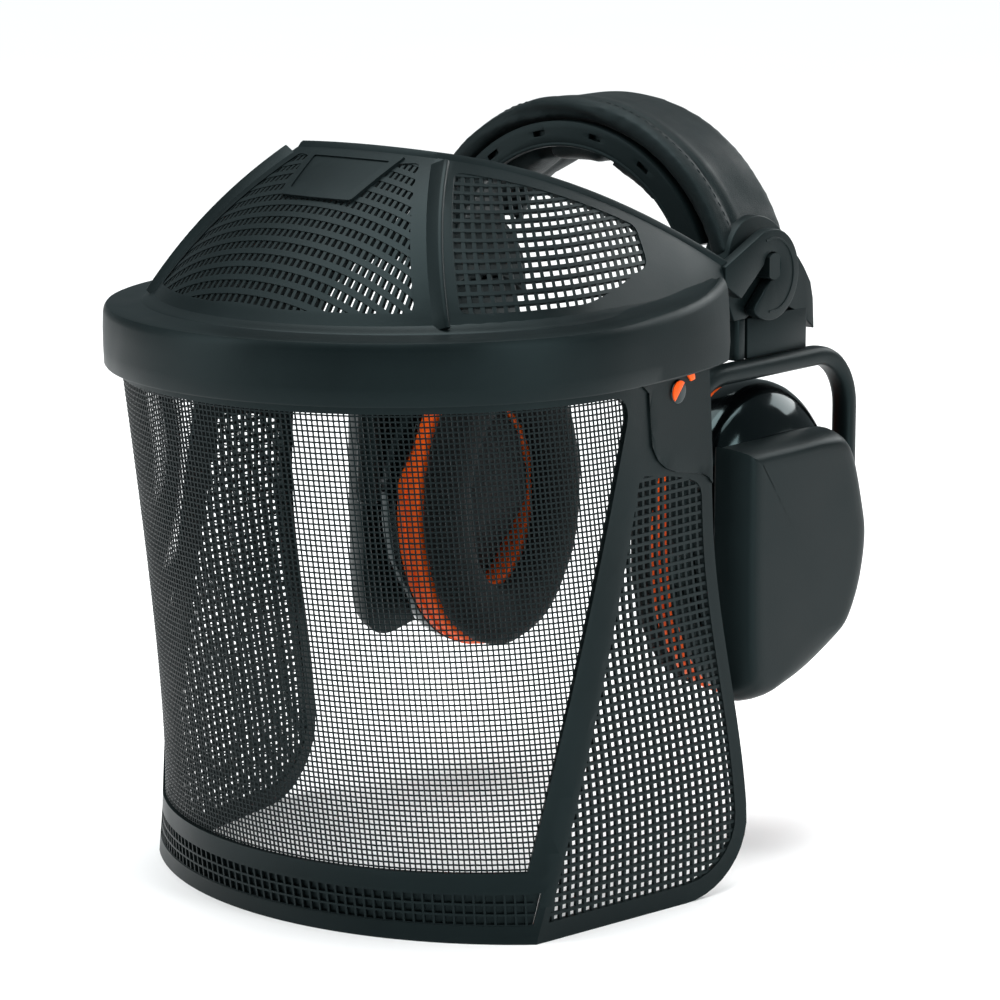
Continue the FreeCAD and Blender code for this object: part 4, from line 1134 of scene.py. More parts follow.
    outer = rounded_corners([(-15.6, 66.4), (15.6, 66.4), (20.2, 95.5), (-20.2, 95.5)], 1.5, 4)
    inner = rounded_corners([(-12.9, 70.6), (12.9, 70.6), (16.6, 91.5), (-16.6, 91.5)], 1.0, 3)
    for outline, hole, out in ((outer, [inner], 0.9), (inner, [], 0.35)):
        badge = flat_panel([(guard_u(a, v), v) for a, v in refine(outline, 3.0)],
                           [[(guard_u(a, v), v) for a, v in refine(ring, 3.0)] for ring in hole],
                           5.0, 8.0, 1.4)
        bmesh.ops.translate(badge, vec=(0, 0, out), verts=badge.verts)
        bend(badge, guard_place)
        parts.append(badge)
    return join_parts(parts)


PEAK_RADIUS, PEAK_WALL = 100.0, 2.5
PEAK_TOP, PEAK_LOW = -38.0, -58.5
PEAK_REAR_Y = -38.0


def peak_ring(along):
    """One section of the peak: a rounded wall and a ledge that meets the guard."""
    rear = max(0.0, abs(along) - 0.55) / 0.45
    lean = 6.5 * rear ** 1.6
    outer = outline_point(PEAK_RADIUS, along, 0.0, 11.0, -36.0)
    inner = outline_point(GUARD_RADIUS + 0.4, along, 0.0, 10.0, -36.0)
    unit = (inner - outer).normalized()
    gap = (inner - outer).length
    top, low = PEAK_TOP + 6.5 * rear * rear, PEAK_LOW + 1.5 * rear * rear
    meet = GUARD_BASE + 5.0 * rear * rear
    profile = [(0.5, low), (0.05, low + 0.6), (-0.15 + lean * 0.2, low + 6.0),
               (-0.2 + lean * 0.5, low + 12.0),
               (lean * 0.85, top - 3.2), (lean * 0.95 + 0.35, top - 1.5), (lean + 1.1, top - 0.4),
               (lean + 2.2, top), ((gap + lean) * 0.5, (top + meet) / 2 - 0.5),
               (gap - 1.0, meet + 0.4), (gap + 0.6, meet + 1.0), (gap + 0.6, meet - 1.0),
               (lean + PEAK_WALL + 1.4, top - 2.4), (lean + PEAK_WALL, top - 4.4), (PEAK_WALL, low + 0.5),
               (PEAK_WALL - 0.5, low)]
    return [outer + unit * inset + Vector((0.0, 0.0, height)) for inset, height in profile]


def build_peak():
    """The peak's long band, cut slanting at the rear, with the two lugs that the knobs pass through."""
    rings = [peak_ring(number / 40.0) for number in range(-40, 41)]
    bm = separate_part(lambda part: stack_rings(part, rings))
    for normal in (Vector((0.0, 22.5, -14.0)), Vector((0.0, 8.0, -3.0))):
        bmesh.ops.bisect_plane(bm, geom=bm.verts[:] + bm.edges[:] + bm.faces[:], dist=0.0005,
                               plane_co=(0.0, PEAK_REAR_Y, PEAK_TOP), plane_no=normal.normalized(),
                               clear_outer=True)
        open_edges = [edge for edge in bm.edges if edge.is_boundary]
        bmesh.ops.holes_fill(bm, edges=open_edges, sides=0)
    bmesh.ops.recalc_face_normals(bm, faces=bm.faces)
    parts = [bm]
    for sign in (1, -1):
        reach = sorted((sign * 89.0, sign * 91.5))
        parts.append(block(reach, (KNOB_Y - 8.0, KNOB_Y + 8.0), (KNOB_Z - 7.9, PEAK_TOP + 0.6)))
    return join_parts(parts)


def disc(centre, radius, near, far, segments, width):
    """A softened round disc that stands along X."""
    bm = bmesh.new()
    turn = Matrix.Rotation(math.radians(90.0), 4, "Y")
    middle = Matrix.Translation(Vector(((near + far) / 2, centre[0], centre[1])))
    bmesh.ops.create_cone(bm, cap_ends=True, cap_tris=False, segments=segments, radius1=radius,
                          radius2=radius, depth=far - near, matrix=middle @ turn)
    soften(bm, width, 3, 60.0)
    return bm


def upright_panel(outline, near, far, width, segments=3):
    """A plate of an outline in Y and Z, between two places along X, with softened edges."""
    uncut = 60.0
    bm = flat_panel(outline, [], uncut, uncut, far - near)
    for vert in bm.verts:
        vert.co = Vector((far + vert.co.z, vert.co.x, vert.co.y))
    bmesh.ops.recalc_face_normals(bm, faces=bm.faces)
    soften(bm, width, segments, 50.0)
    return bm


def build_hub():
    """The hub disc with its arm, and the mouth that lets it snap over the hinge peg."""
    centre_z = HINGE_Z - 3.0
    hub_radius, mouth_radius, line_outer, line_inner = 16.0, 4.9, 13.2, 12.4
    outline = [(-8.0, centre_z + 14.0), (-27.5, centre_z + 5.5), (-27.5, centre_z - 1.0),
               (-18.0, centre_z - 6.5)]
    outline += arc_points((0.0, HINGE_Z), mouth_radius, mouth_radius, 170.0, -100.0, 16)
    outline += [(-10.6, centre_z - 10.9)]
    outline += arc_points((0.0, centre_z), hub_radius, hub_radius, 232.0, 472.0, 34)
    near, far = hub_low.x, hub_high.x
    plate = upright_panel(outline, near, far, 0.6)
    rim = arc_points((0.0, centre_z), line_outer, line_outer, 262.0, 468.0, 26)
    rim += arc_points((0.0, centre_z), line_inner, line_inner, 468.0, 262.0, 26)
    line = upright_panel(rim, far - 0.3, far + 0.25, 0.1, 1)
    return join_parts([plate, line])


# ---------------------------------------------------------------- headband
def arch_point(angle, radius, y):
    """A point of the headband arch; the angle is measured from straight up."""
    return Vector((radius * math.sin(angle), y, ARCH_Z + radius * math.cos(angle)))


def sweep_arch(section, begin, end, steps):
    """Sweep a closed section, given as radius and Y, round the arch, and close its ends."""
    bm = bmesh.new()
    corners = [bm.verts.new(arch_point(begin, radius, y)) for radius, y in section]
    edges = [bm.edges.new(pair) for pair in zip(corners, corners[1:] + corners[:1])]
    bmesh.ops.spin(bm, geom=corners + edges, cent=(0, 0, ARCH_Z), axis=(0, 1, 0), dvec=(0, 0, 0),
                   angle=end - begin, steps=steps, use_merge=False, use_normal_flip=False,
                   use_duplicate=False)
    bmesh.ops.holes_fill(bm, edges=[edge for edge in bm.edges if edge.is_boundary], sides=0)
    bmesh.ops.recalc_face_normals(bm, faces=bm.faces)
    return bm


def arch_section(inner, outer, front, rear, radius, count=5):
    """A rounded oblong section of the arch, between two radii and two places along Y."""
    return rounded_corners([(inner, front), (outer, front), (outer, rear), (inner, rear)], radius, count)


def lip_panel(side):
    """One lip of the headband moulding, with its row of vent slots; side is -1 in front and 1 behind."""
    unroll = 60.0
    inner, outer = 55.6, 64.0
    slot_low, slot_high, slot_half = 59.2, 61.2, 2.7
    reach = MOULDING_HALF_ANGLE * unroll
    slots = []
    for place in (12.0, 34.0):
        for sign in (1, -1):
            middle = math.radians(place) * unroll * sign
            begin, end = middle - slot_half, middle + slot_half
            slots.append(rounded_corners([(begin, slot_low), (end, slot_low), (end, slot_high),
                                          (begin, slot_high)], 0.5, 3))
    corners = [(-reach, inner), (reach, inner), (reach, outer), (-reach, outer)]
    panel = flat_panel(corners, slots, 4.0, 20.0, 2.0)
    for vert in panel.verts:
        angle, radius, out = vert.co.x / unroll, vert.co.y, vert.co.z
        vert.co = arch_point(angle, radius, side * (19.0 + out))
    bmesh.ops.recalc_face_normals(panel, faces=panel.faces)
    soften(panel, 0.45, 2, 60.0)
    return panel


def build_headband_frame():
    """The moulded arch inside the sleeve: a thin web, two slotted lips, their backs and their rims."""
    sections = [arch_section(61.6, 64.2, -18.6, 18.6, 0.8, 3)]
    for side in (-1, 1):
        sections.append(arch_section(58.2, 62.2, side * 16.2 - 0.5, side * 16.2 + 0.5, 0.3, 2))
        sections.append(arch_section(55.0, 56.6, side * 17.6 - 1.7, side * 17.6 + 1.7, 0.7, 3))
    arches = [sweep_arch(section, -MOULDING_HALF_ANGLE, MOULDING_HALF_ANGLE, 60) for section in sections]
    return join_parts([arches[0], lip_panel(-1), lip_panel(1)] + arches[1:])


def settle(piece):
    """Make a piece's modifiers part of its mesh."""
    graph = bpy.context.evaluated_depsgraph_get()
    done = bpy.data.meshes.new_from_object(piece.evaluated_get(graph))
    old = piece.data
    piece.modifiers.clear()
    piece.data = done
    bpy.data.meshes.remove(old)


SWELL_FRAMES = 20
PAD_PRESSURE = 4.0
PAD_CAP, CUP_PAD_CAP = 0.0014, 0.0012


def swell(piece, cap):
    """Blow a closed mesh up as cloth with air inside; no point moves farther than cap metres."""
    before = [vert.co.copy() for vert in piece.data.vertices]
    cloth = piece.modifiers.new("Cloth", "CLOTH")
    cloth.settings.quality = 6
    cloth.settings.mass = 0.15
    cloth.settings.tension_stiffness = 12.0
    cloth.settings.compression_stiffness = 12.0
    cloth.settings.bending_stiffness = 0.4
    cloth.settings.use_pressure = True
    cloth.settings.uniform_pressure_force = PAD_PRESSURE
    cloth.settings.effector_weights.gravity = 0.0
    cloth.collision_settings.use_collision = False
    cloth.point_cache.frame_start = 1
    cloth.point_cache.frame_end = SWELL_FRAMES
    scene = bpy.context.scene
    for frame_number in range(1, SWELL_FRAMES + 1):
        scene.frame_set(frame_number)
    graph = bpy.context.evaluated_depsgraph_get()
    blown = piece.evaluated_get(graph).data
    after = [vert.co.copy() for vert in blown.vertices]
    piece.modifiers.clear()
    scene.frame_set(1)
    for vert, start, end in zip(piece.data.vertices, before, after):
        move = end - start
        vert.co = start + move * min(1.0, cap / max(move.length, 1e-9))


def make_padded(name, bm, body, slot, replaced, shape, cap=None):
    """A sewn or foam-filled piece: remeshed, swollen, subdivided and then shaped point by point."""
    padding = bpy.context.scene.protector_padding
    bmesh.ops.scale(bm, vec=(MM, MM, MM), verts=bm.verts)
    mesh = bpy.data.meshes.new(name)
    bm.to_mesh(mesh)
    bm.free()
    piece = bpy.data.objects.new(name, mesh)
    bpy.context.scene.collection.objects.link(piece)
    remesh = piece.modifiers.new("Remesh", "REMESH")
    remesh.mode = "VOXEL"
    remesh.voxel_size = padding.voxel
    settle(piece)
    swell(piece, cap or padding.swell)
    rounder = piece.modifiers.new("Rounder", "SUBSURF")
    rounder.levels = rounder.render_levels = 1
    settle(piece)
    finer = bmesh.new()
    finer.from_mesh(piece.data)
    bmesh.ops.recalc_face_normals(finer, faces=finer.faces)
    finer.normal_update()
    moves = [shape(vert.co / MM, vert.normal.copy()) for vert in finer.verts]
    for vert, move in zip(finer.verts, moves):
        vert.co += move * MM
    finer.to_mesh(piece.data)
    finer.free()
    piece.data.shade_smooth()
    piece.data.materials.clear()
    piece.data.materials.append(finish_for(slot))
    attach(piece, body)
    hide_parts(*replaced)
    return piece


def sleeve_seam_y(angle):
    """Where the sleeve's top seam runs, for an angle round the arch."""
    return -8.5 - 3.5 * math.cos(angle * 1.2)


def sleeve_shape(place, normal):
    """The sleeve's seam, its rolled front edge and the small folds beside them."""
    angle = math.atan2(place.x, place.z - ARCH_Z)
    radius = math.hypot(place.x, place.z - ARCH_Z)
    move = Vector((0.0, 0.0, 0.0))
    if radius > 69.0:
        off = abs(place.y - sleeve_seam_y(angle))
        move -= normal * 0.9 * max(0.0, 1.0 - off / 1.7) ** 2
        move += normal * 0.35 * max(0.0, 1.0 - abs(off - 3.4) / 2.4)
    soft = noise.noise(Vector((angle * 3.0, place.y * 0.12, 0.0)))
    move += normal * 0.3 * soft
    near_top = max(0.0, 1.0 - abs(math.degrees(angle) + 6.0) / 34.0)
    rolled = max(0.0, min((-place.y - 10.0) / 3.0, 1.0)) if radius > 66.0 else 0.0
    lines = math.sin((radius * 0.8 - place.y * 0.9 + angle * 5.0) * 1.5)
    move += normal * 0.75 * lines * near_top * rolled
    return move


def pad_shape(place, normal):
    """Soft dents, and the shallow middle channel of a head pad."""
    dent = noise.noise(Vector((place.x * 0.12, place.y * 0.12, place.z * 0.12)))
    return normal * (0.35 * dent - 0.7 * max(0.0, 1.0 - abs(place.y) / 2.2))


STITCH_LENGTH, STITCH_RADIUS = 2.3, 0.26


def add_stitches(name, places, body, slot):
    """A row of short rounded threads; each place is a middle, a direction and an outward normal."""
    whole = bmesh.new()
    for middle, along, out in places:
        stitch = bmesh.ops.create_icosphere(whole, subdivisions=1, radius=1.0)
        across = out.cross(along).normalized()
        frame_axes = Matrix((along * STITCH_LENGTH / 2, across * STITCH_RADIUS,
                             out * STITCH_RADIUS)).transposed()
        for vert in stitch["verts"]:
            vert.co = middle + frame_axes @ vert.co
    bmesh.ops.recalc_face_normals(whole, faces=whole.faces)
    return add_piece(name, whole, body, slot, smooth_angle=80.0)


# ---------------------------------------------------------------- hinges and arms
def build_housing():
    """The boot at an end of the headband: a side outline with a round top, cut to a front profile."""
    back, low = 33.0, -58.0
    centre = (0.0, HINGE_Z - 3.0)
    side = arc_points(centre, 20.0, 20.0, 196.0, 19.0, 30)
    side += [(22.4, -31.0), (26.5, -35.5), (30.5, -41.0), (32.2, -47.0), (back, low)]
    for number in range(1, 8):
        t = number / 8
        y = back + (-9.0 - back) * t
        side.append((y, low * (1 - t) ** 2 + 2 * t * (1 - t) * -40.0 + t * t * -50.0))
    side += [(-9.0, -50.0), (-15.5, -50.0), (-19.0, -43.0)]
    bm = flat_panel(side, [], 90.0, 90.0, 34.0)
    for vert in bm.verts:
        vert.co = Vector((72.0 + vert.co.z, vert.co.x, vert.co.y))
    open_low = low - 12.0
    profile = [(52.0, -30.0), (62.0, -15.0), (68.6, -15.0), (71.3, -32.0), (71.3, open_low),
               (60.0, open_low), (60.0, low), (56.0, -44.0)]
    for (x1, z1), (x2, z2) in zip(profile, profile[1:] + profile[:1]):
        if z1 == z2 == open_low:
            continue
        normal = Vector((-(z2 - z1), 0.0, x2 - x1)).normalized()
        bmesh.ops.bisect_plane(bm, geom=bm.verts[:] + bm.edges[:] + bm.faces[:], dist=0.0005,
                               plane_co=(x1, 0.0, z1), plane_no=normal, clear_outer=True)
        bmesh.ops.holes_fill(bm, edges=[edge for edge in bm.edges if edge.is_boundary], sides=0)
    bmesh.ops.recalc_face_normals(bm, faces=bm.faces)
    soften(bm, 0.8, 3, 25.0)
    return bm


def build_slider():
    """The sliding block under the boot, with its rail groove, and the tongue that runs up inside."""
    front, back = -14.0, 30.0
    near, far = 62.0, 71.4
    groove = [(far, front + 5.0), (far - 1.6, front + 5.0), (far - 1.6, front + 6.4), (far, front + 6.4)]
    plan = [(near, front), (far - 1.2, front), (far, front + 1.2)] + groove
    plan += [(far, back - 2.0), (far - 2.0, back), (near, back)]
    bm = flat_panel(plan, [], 90.0, 90.0, 14.4)
    for vert in bm.verts:
        vert.co = Vector((vert.co.x, vert.co.y, -49.8 + vert.co.z))
    bmesh.ops.recalc_face_normals(bm, faces=bm.faces)
    soften(bm, 0.45, 2, 30.0)
    # Long enough to stay inside the boot when the slider is drawn out.
    tongue = block((64.0, 67.0), (-4.0, 12.0), (-56.0, -24.0))
    return join_parts([bm, tongue])


def build_yoke():
    """The thick rounded fork that carries the cup between its ends."""
    half, top, corner = 48.9, yoke_high.z - 3.6, 20.5
    middle_x = (yoke_low.x + yoke_high.x) / 2
    end_z = yoke_low.z + 0.8
    radius_across, radius_along_x = 3.5, 4.2
    path = [(CUP_Y - half, end_z + (top - corner - end_z) * n / 8) for n in range(9)]
    path += arc_points((CUP_Y - half + corner, top - corner), corner, corner, 180.0, 90.0, 13)[1:]
    path += [(CUP_Y - half + corner + (2 * half - 2 * corner) * n / 8, top) for n in range(1, 8)]
    path += arc_points((CUP_Y + half - corner, top - corner), corner, corner, 90.0, 0.0, 13)
    path += [(CUP_Y + half, top - corner + (end_z - top + corner) * n / 8) for n in range(1, 9)]
    places = [Vector((middle_x, y, z)) for y, z in path]
    bar = separate_part(lambda bm: tube(bm, places, radius_across, radius_along_x, (1, 0, 0), 20, 2.8))
    soften(bar, 0.8, 2, 55.0)
    parts = [bar]
    for end, y in ((-1, CUP_Y - half), (1, CUP_Y + half)):
        eye = bmesh.new()
        turn = Matrix.Rotation(math.radians(90.0), 4, "X")
        bmesh.ops.create_cone(eye, cap_ends=True, segments=36, radius1=6.0, radius2=6.0, depth=6.4,
                              matrix=Matrix.Translation(Vector((middle_x, y, PIVOT_Z))) @ turn)
        soften(eye, 0.9, 3, 60.0)
        for vert in eye.verts:
            vert.co.x = middle_x + (vert.co.x - middle_x) * 0.7
        parts.append(eye)
    return join_parts(parts)


# ---------------------------------------------------------------- ear cups
CUP_HALF_Y, CUP_HALF_Z = 43.6, 56.6
OVAL_POINTS = 72


def oval(x, half_y, half_z):
    """An oval about the cup's middle, at a place along X."""
    ring = []
    for number in range(OVAL_POINTS):
        angle = 2 * math.pi * number / OVAL_POINTS
        ring.append(Vector((x, CUP_Y + half_y * math.cos(angle), CUP_Z + half_z * math.sin(angle))))
    return ring


def oval_stack(rows, closed=False):
    """A skin through ovals; each row is X and how far the oval is drawn in along Y and along Z."""
    bm = bmesh.new()
    rings = [oval(x, CUP_HALF_Y - in_y, CUP_HALF_Z - in_z) for x, in_y, in_z in rows]
    if closed:
        rings.append(rings[0])
    stack_rings(bm, rings, capped=not closed)
    return bm


def top_share(place):
    """0 over most of a cup and 1 at its top, where the shell laps over the back plate."""
    share = min(max((place.z - CUP_Z - 8.0) / 18.0, 0.0), 1.0)
    return share * share * (3.0 - 2.0 * share)


def build_cup_shell():
    """The polished dome of an ear cup, with its hollow inside and a lip that laps over the plate on top."""
    hollow = [(75.6, 16.0, 18.0), (74.8, 9.0, 11.0), (72.0, 6.2, 7.2), (67.0, 4.6, 5.0), (63.05, 4.4, 4.6)]
    lip = [(63.0, 3.6, 3.6), (63.0, 2.9, 2.9), (60.0, 2.7, 2.7), (59.4, 2.0, 2.0), (59.3, 0.9, 0.9),
           (59.6, 0.3, 0.3), (61.0, 0.1, 0.1)]
    dome = [(64.0, 0.1, 0.1), (66.5, 0.2, 0.3), (69.5, 0.8, 1.1), (72.5, 2.1, 3.0), (75.0, 3.9, 5.6),
            (77.2, 6.2, 9.0), (78.8, 8.8, 12.6), (79.7, 11.6, 16.6), (79.95, 15.0, 21.0)]
    bm = oval_stack(hollow + lip + dome)
    for vert in bm.verts:
        if vert.co.x < 63.0:
            vert.co.x = 63.0 + (vert.co.x - 63.0) * (0.02 + 0.98 * top_share(vert.co))
    return bm


def build_back_plate():
    """The accent-coloured plate that holds the cushion: an oval ring round the ear opening."""
    rim = [(53.0, 4.0, 4.0), (53.0, 1.4, 1.4), (53.3, 0.7, 0.7), (54.0, 0.35, 0.35), (57.6, 0.35, 0.35),
           (58.3, 1.0, 1.0), (58.6, 2.2, 2.2)]
    step = [(59.2, 3.0, 3.0), (62.6, 3.1, 3.1), (62.95, 3.6, 3.6)]
    opening = [(62.95, 21.4, 22.4), (62.5, 22.0, 23.0), (53.6, 22.0, 23.0), (53.0, 21.4, 22.4)]
    bm = oval_stack(rim + step + opening, closed=True)
    for vert in bm.verts:
        flat = Vector((0.0, vert.co.y - CUP_Y, vert.co.z - CUP_Z))
        drawn_in = 1.0 - math.hypot(flat.y / CUP_HALF_Y, flat.z / CUP_HALF_Z)
        if vert.co.x > 58.5 and drawn_in < 0.11:
            vert.co += flat.normalized() * 2.6 * (1.0 - top_share(vert.co))
        elif drawn_in < 0.11:
            crown = min(max((vert.co.z - CUP_Z - 38.0) / 6.0, 0.0), 1.0)
            vert.co -= flat.normalized() * 3.0 * crown
    return bm


def smooth_loop(points):
    """A closed curve through points, as finer points."""
    total, count = len(points), 6
    fine = []
    for number in range(total):
        p0, p1, p2, p3 = (Vector(points[(number + step) % total]) for step in (-1, 0, 1, 2))
        for step in range(count):
            t = step / count
            fine.append(0.5 * (2 * p1 + (p2 - p0) * t + (2 * p0 - 5 * p1 + 4 * p2 - p3) * t * t
                               + (3 * p1 - p0 - 3 * p2 + p3) * t ** 3))
    return [(point.x, point.y) for point in fine]


def shield(front, back, top, low):
    """The outer cover's outline in Y and Z: a straight top and a long round rear and lower side."""
    middle = (top + low) / 2
    top_side = [(front, top - 3.0), (front + 0.8, top - 0.8), (front + 3.0, top), (front + 24.0, top),
                (back - 24.0, top), (back - 14.0, top - 2.0), (back - 7.5, top - 9.5)]
    rear_side = [(back - 1.8, top - 27.0), (back, middle + 5.0), (back - 1.4, middle - 6.0),
                 (back - 5.0, middle - 16.5), (back - 11.5, middle - 26.0)]
    low_side = [(back - 21.5, low + 11.0), (back - 36.5, low + 5.0),
                (front + 0.31 * (back - front), low + 1.6), (front + 13.0, low), (front + 5.0, low + 3.0)]
    return smooth_loop(top_side + rear_side + low_side + [(front + 1.2, low + 11.0), (front, middle)])


def build_cup_cover():
    """The satin outer cover of an ear cup, with a steep flat facet in front."""
    # Each row is X, how far the outline is drawn in, and how far its front is.
    rows = [(79.6, 1.2, 1.2), (79.8, 0.5, 0.5), (80.6, 0.1, 0.1), (83.0, 0.3, 0.5), (86.0, 1.1, 1.7),
            (89.0, 2.4, 3.3), (91.2, 3.9, 4.6), (91.9, 4.7, 5.2), (92.5, 5.9, 6.2), (92.85, 7.4, 7.6),
            (93.0, 10.0, 10.0)]
    rings = []
    for x, inset, front in rows:
        outline = shield(-38.0 + front, 41.5 - inset, -90.5 - inset * 0.55, -181.5 + inset)
        rings.append([Vector((x, y, z)) for y, z in outline])
    edge = rings[-1]
    middle = sum(edge, Vector()) / len(edge)
    for share in (0.93, 0.8):
        rings.append([middle.lerp(point, share) for point in edge])
    bm = bmesh.new()
    stack_rings(bm, rings)
    bmesh.ops.poke(bm, faces=[face for face in bm.faces if len(face.verts) > 4])
    return bm


def build_cushion_core():
    """The ear cushion's starting shape, a little smaller than it ends up."""
    outside = [(52.4, 3.0, 3.0), (52.2, 1.4, 1.4), (50.0, 0.7, 0.7), (46.0, 0.9, 0.9)]
    face = [(43.0, 2.6, 2.6), (41.4, 6.4, 6.4), (41.0, 11.0, 11.0), (41.6, 16.6, 16.6), (43.4, 20.6, 20.8)]
    inside = [(47.0, 22.6, 23.0), (51.2, 22.8, 23.4), (52.4, 21.4, 22.0)]
    return oval_stack(outside + face + inside, closed=True)


def cushion_shape(place, normal):
    """Fine puckers where the skin is gathered to the plate, and soft dents elsewhere."""
    turn = math.atan2(place.z - CUP_Z, place.y - CUP_Y)
    gather = max(0.0, 1.0 - (52.4 - place.x) / 5.0) if place.x < 52.4 else 1.0
    pucker = math.sin(turn * 54.0) * 0.16 * min(gather, 1.0)
    dent = noise.noise(Vector((place.x * 0.1, place.y * 0.09, place.z * 0.09)))
    return normal * (pucker + 0.4 * dent)


def build_liner_core():
    """The foam in a cup: its face in the ear opening and its wider back in the shell."""
    face = [(57.4, 36.0, 44.0), (57.5, 25.5, 27.0), (58.2, 22.7, 23.7), (64.2, 22.5, 23.5)]
    wide = [(64.4, 12.6, 13.4), (67.0, 10.6, 11.2), (70.5, 11.0, 12.0), (72.6, 14.0, 16.0),
            (73.2, 22.0, 26.0)]
    return oval_stack(face + wide)


def liner_shape(place, normal):
    """Soft dents, and a face that stands higher in the upper half of the ear opening."""
    dent = noise.noise(Vector((place.x * 0.16, place.y * 0.1, place.z * 0.1)))
    tilt = max(min((place.z - CUP_Z + 16.0) / 14.0, 1.0), -0.6) if place.x < 63.0 else 0.0
    return normal * 0.5 * dent - Vector((5.6 * tilt, 0.0, 0.0))


# ---------------------------------------------------------------- knobs
KNOB_RADIUS, KNOB_NECK_RADIUS, KNOB_INLAY_RADIUS = 4.1, 2.3, 3.75


def build_knob_body():
    """The dark knob: a dished disc on a neck that passes through the visor."""
    face = disc((KNOB_Y, KNOB_Z), KNOB_RADIUS, knob_high.x - 3.6, knob_high.x - 0.4, 48, 0.5)
    neck = disc((KNOB_Y, KNOB_Z), KNOB_NECK_RADIUS, knob_low.x, knob_high.x - 3.0, 28, 0.3)
    return join_parts([face, neck])


def build_lock_mark():
    """The small wedge beside a knob that its coloured half points to."""
    wedge = [(KNOB_Y + 2.4, KNOB_Z + 7.2), (KNOB_Y + 8.6, KNOB_Z + 7.0), (KNOB_Y + 9.4, KNOB_Z + 3.0),
             (KNOB_Y + 7.0, KNOB_Z + 2.6), (KNOB_Y + 5.4, KNOB_Z + 4.6)]
    return upright_panel(wedge, knob_high.x - 4.6, knob_high.x - 0.6, 0.35, 2)


def build_knob_inlay():
    """The coloured half of the knob's face."""
    half = arc_points((KNOB_Y, KNOB_Z), KNOB_INLAY_RADIUS, KNOB_INLAY_RADIUS, 48.0, 228.0, 25)
    return upright_panel(half, knob_high.x - 0.9, knob_high.x, 0.2, 2)


# ---------------------------------------------------------------- operators
class PROTECTOR_OT_visor(bpy.types.Operator):
    """Build the visor's frame and its woven mesh"""

    bl_idname = "protector.visor"
    bl_label = "Visor"

    def execute(self, context):
        add_piece("visor_frame_shell", build_visor_frame(), "visor_carrier", "black_plastic", ["visor_frame"])
        add_piece("visor_mesh_weave", build_visor_mesh(), "visor_carrier", "mesh_cloth", ["visor_mesh"])
        return {"FINISHED"}


class PROTECTOR_OT_guard(bpy.types.Operator):
    """Build the brow guard, the peak and the hubs that carry them"""

    bl_idname = "protector.guard"
    bl_label = "Brow guard"

    def execute(self, context):
        add_piece("brow_guard_shell", build_brow_guard(), "visor_carrier", "black_plastic", ["brow_guard"])
        add_piece("visor_peak_band", build_peak(), "visor_carrier", "black_plastic", ["visor_peak"])
        both_sides(build_hub, "hub_disc", "visor_carrier", "black_plastic", "hub")
        return {"FINISHED"}


class PROTECTOR_OT_knobs(bpy.types.Operator):
    """Build the lock knobs with their coloured inlays"""

    bl_idname = "protector.knobs"
    bl_label = "Lock knobs"

    def execute(self, context):
        both_sides(build_knob_body, "knob_disc", "{side}_knob", "gloss_shell", "lock_knob")
        both_sides(build_knob_inlay, "knob_inlay", "{side}_knob", "orange_plastic", None)
        both_sides(build_lock_mark, "lock_wedge", "visor_carrier", "orange_plastic", "lock_mark")
        return {"FINISHED"}


class PROTECTOR_OT_headband(bpy.types.Operator):
    """Build the headband's moulding, sleeve, stitches and head pads"""

    bl_idname = "protector.headband"
    bl_label = "Headband"

    def execute(self, context):
        padding = context.scene.protector_padding
        add_piece("headband_moulding", build_headband_frame(), "headband", "black_plastic",
                  ["headband_frame"])
        reach = SLEEVE_HALF_ANGLE
        section = arch_section(SLEEVE_INNER + 0.9, SLEEVE_OUTER - 0.9, -19.5, 19.5, 3.4)
        core = sweep_arch(section, -reach, reach, 60)
        sleeve = make_padded("headband_sleeve", core, "headband", "sleeve_cloth", ["headband_cover"],
                             sleeve_shape)
        places = []
        count = int(2 * reach * SLEEVE_OUTER / (padding.stitch_pitch / MM))
        for number in range(count):
            angle = -reach + 2 * reach * (number + 0.5) / count
            above = arch_point(angle, SLEEVE_OUTER + 9.0, sleeve_seam_y(angle) - 2.6)
            inward = arch_point(angle, 0.0, 0.0) - arch_point(angle, 1.0, 0.0)
            found, here, out, _ = sleeve.ray_cast(above * MM, inward)
            if not found:
                raise RuntimeError("a stitch misses the sleeve")
            along = arch_point(angle + 0.02, SLEEVE_OUTER, sleeve_seam_y(angle + 0.02)) - arch_point(
                angle, SLEEVE_OUTER, sleeve_seam_y(angle))
            along = (along - out * along.dot(out)).normalized()
            places.append((here / MM, along, out))
        add_stitches("headband_stitches", places, "headband", "sleeve_cloth")
        for label, middle in (("left", 30.0), ("centre", 0.0), ("right", -30.0)):
            begin, end = math.radians(middle - 12.6), math.radians(middle + 12.6)
            core = sweep_arch(arch_section(50.2, 60.8, -15.2, 15.2, 3.2), begin, end, 14)
            make_padded(f"{label}_pad_cushion", core, "headband", "pad_foam", [f"{label}_head_pad"],
                        pad_shape, PAD_CAP)
        return {"FINISHED"}


class PROTECTOR_OT_arms(bpy.types.Operator):
    """Build the hinge housings, the sliders and the yokes"""

    bl_idname = "protector.arms"
    bl_label = "Arms"

    def execute(self, context):
        both_sides(build_housing, "housing_boot", "headband", "black_plastic", "hinge_housing")
        both_sides(build_slider, "slider_block", "{side}_arm", "black_plastic", "slider")
        both_sides(build_yoke, "yoke_fork", "{side}_arm", "black_plastic", "yoke", smooth_angle=50.0)
        return {"FINISHED"}


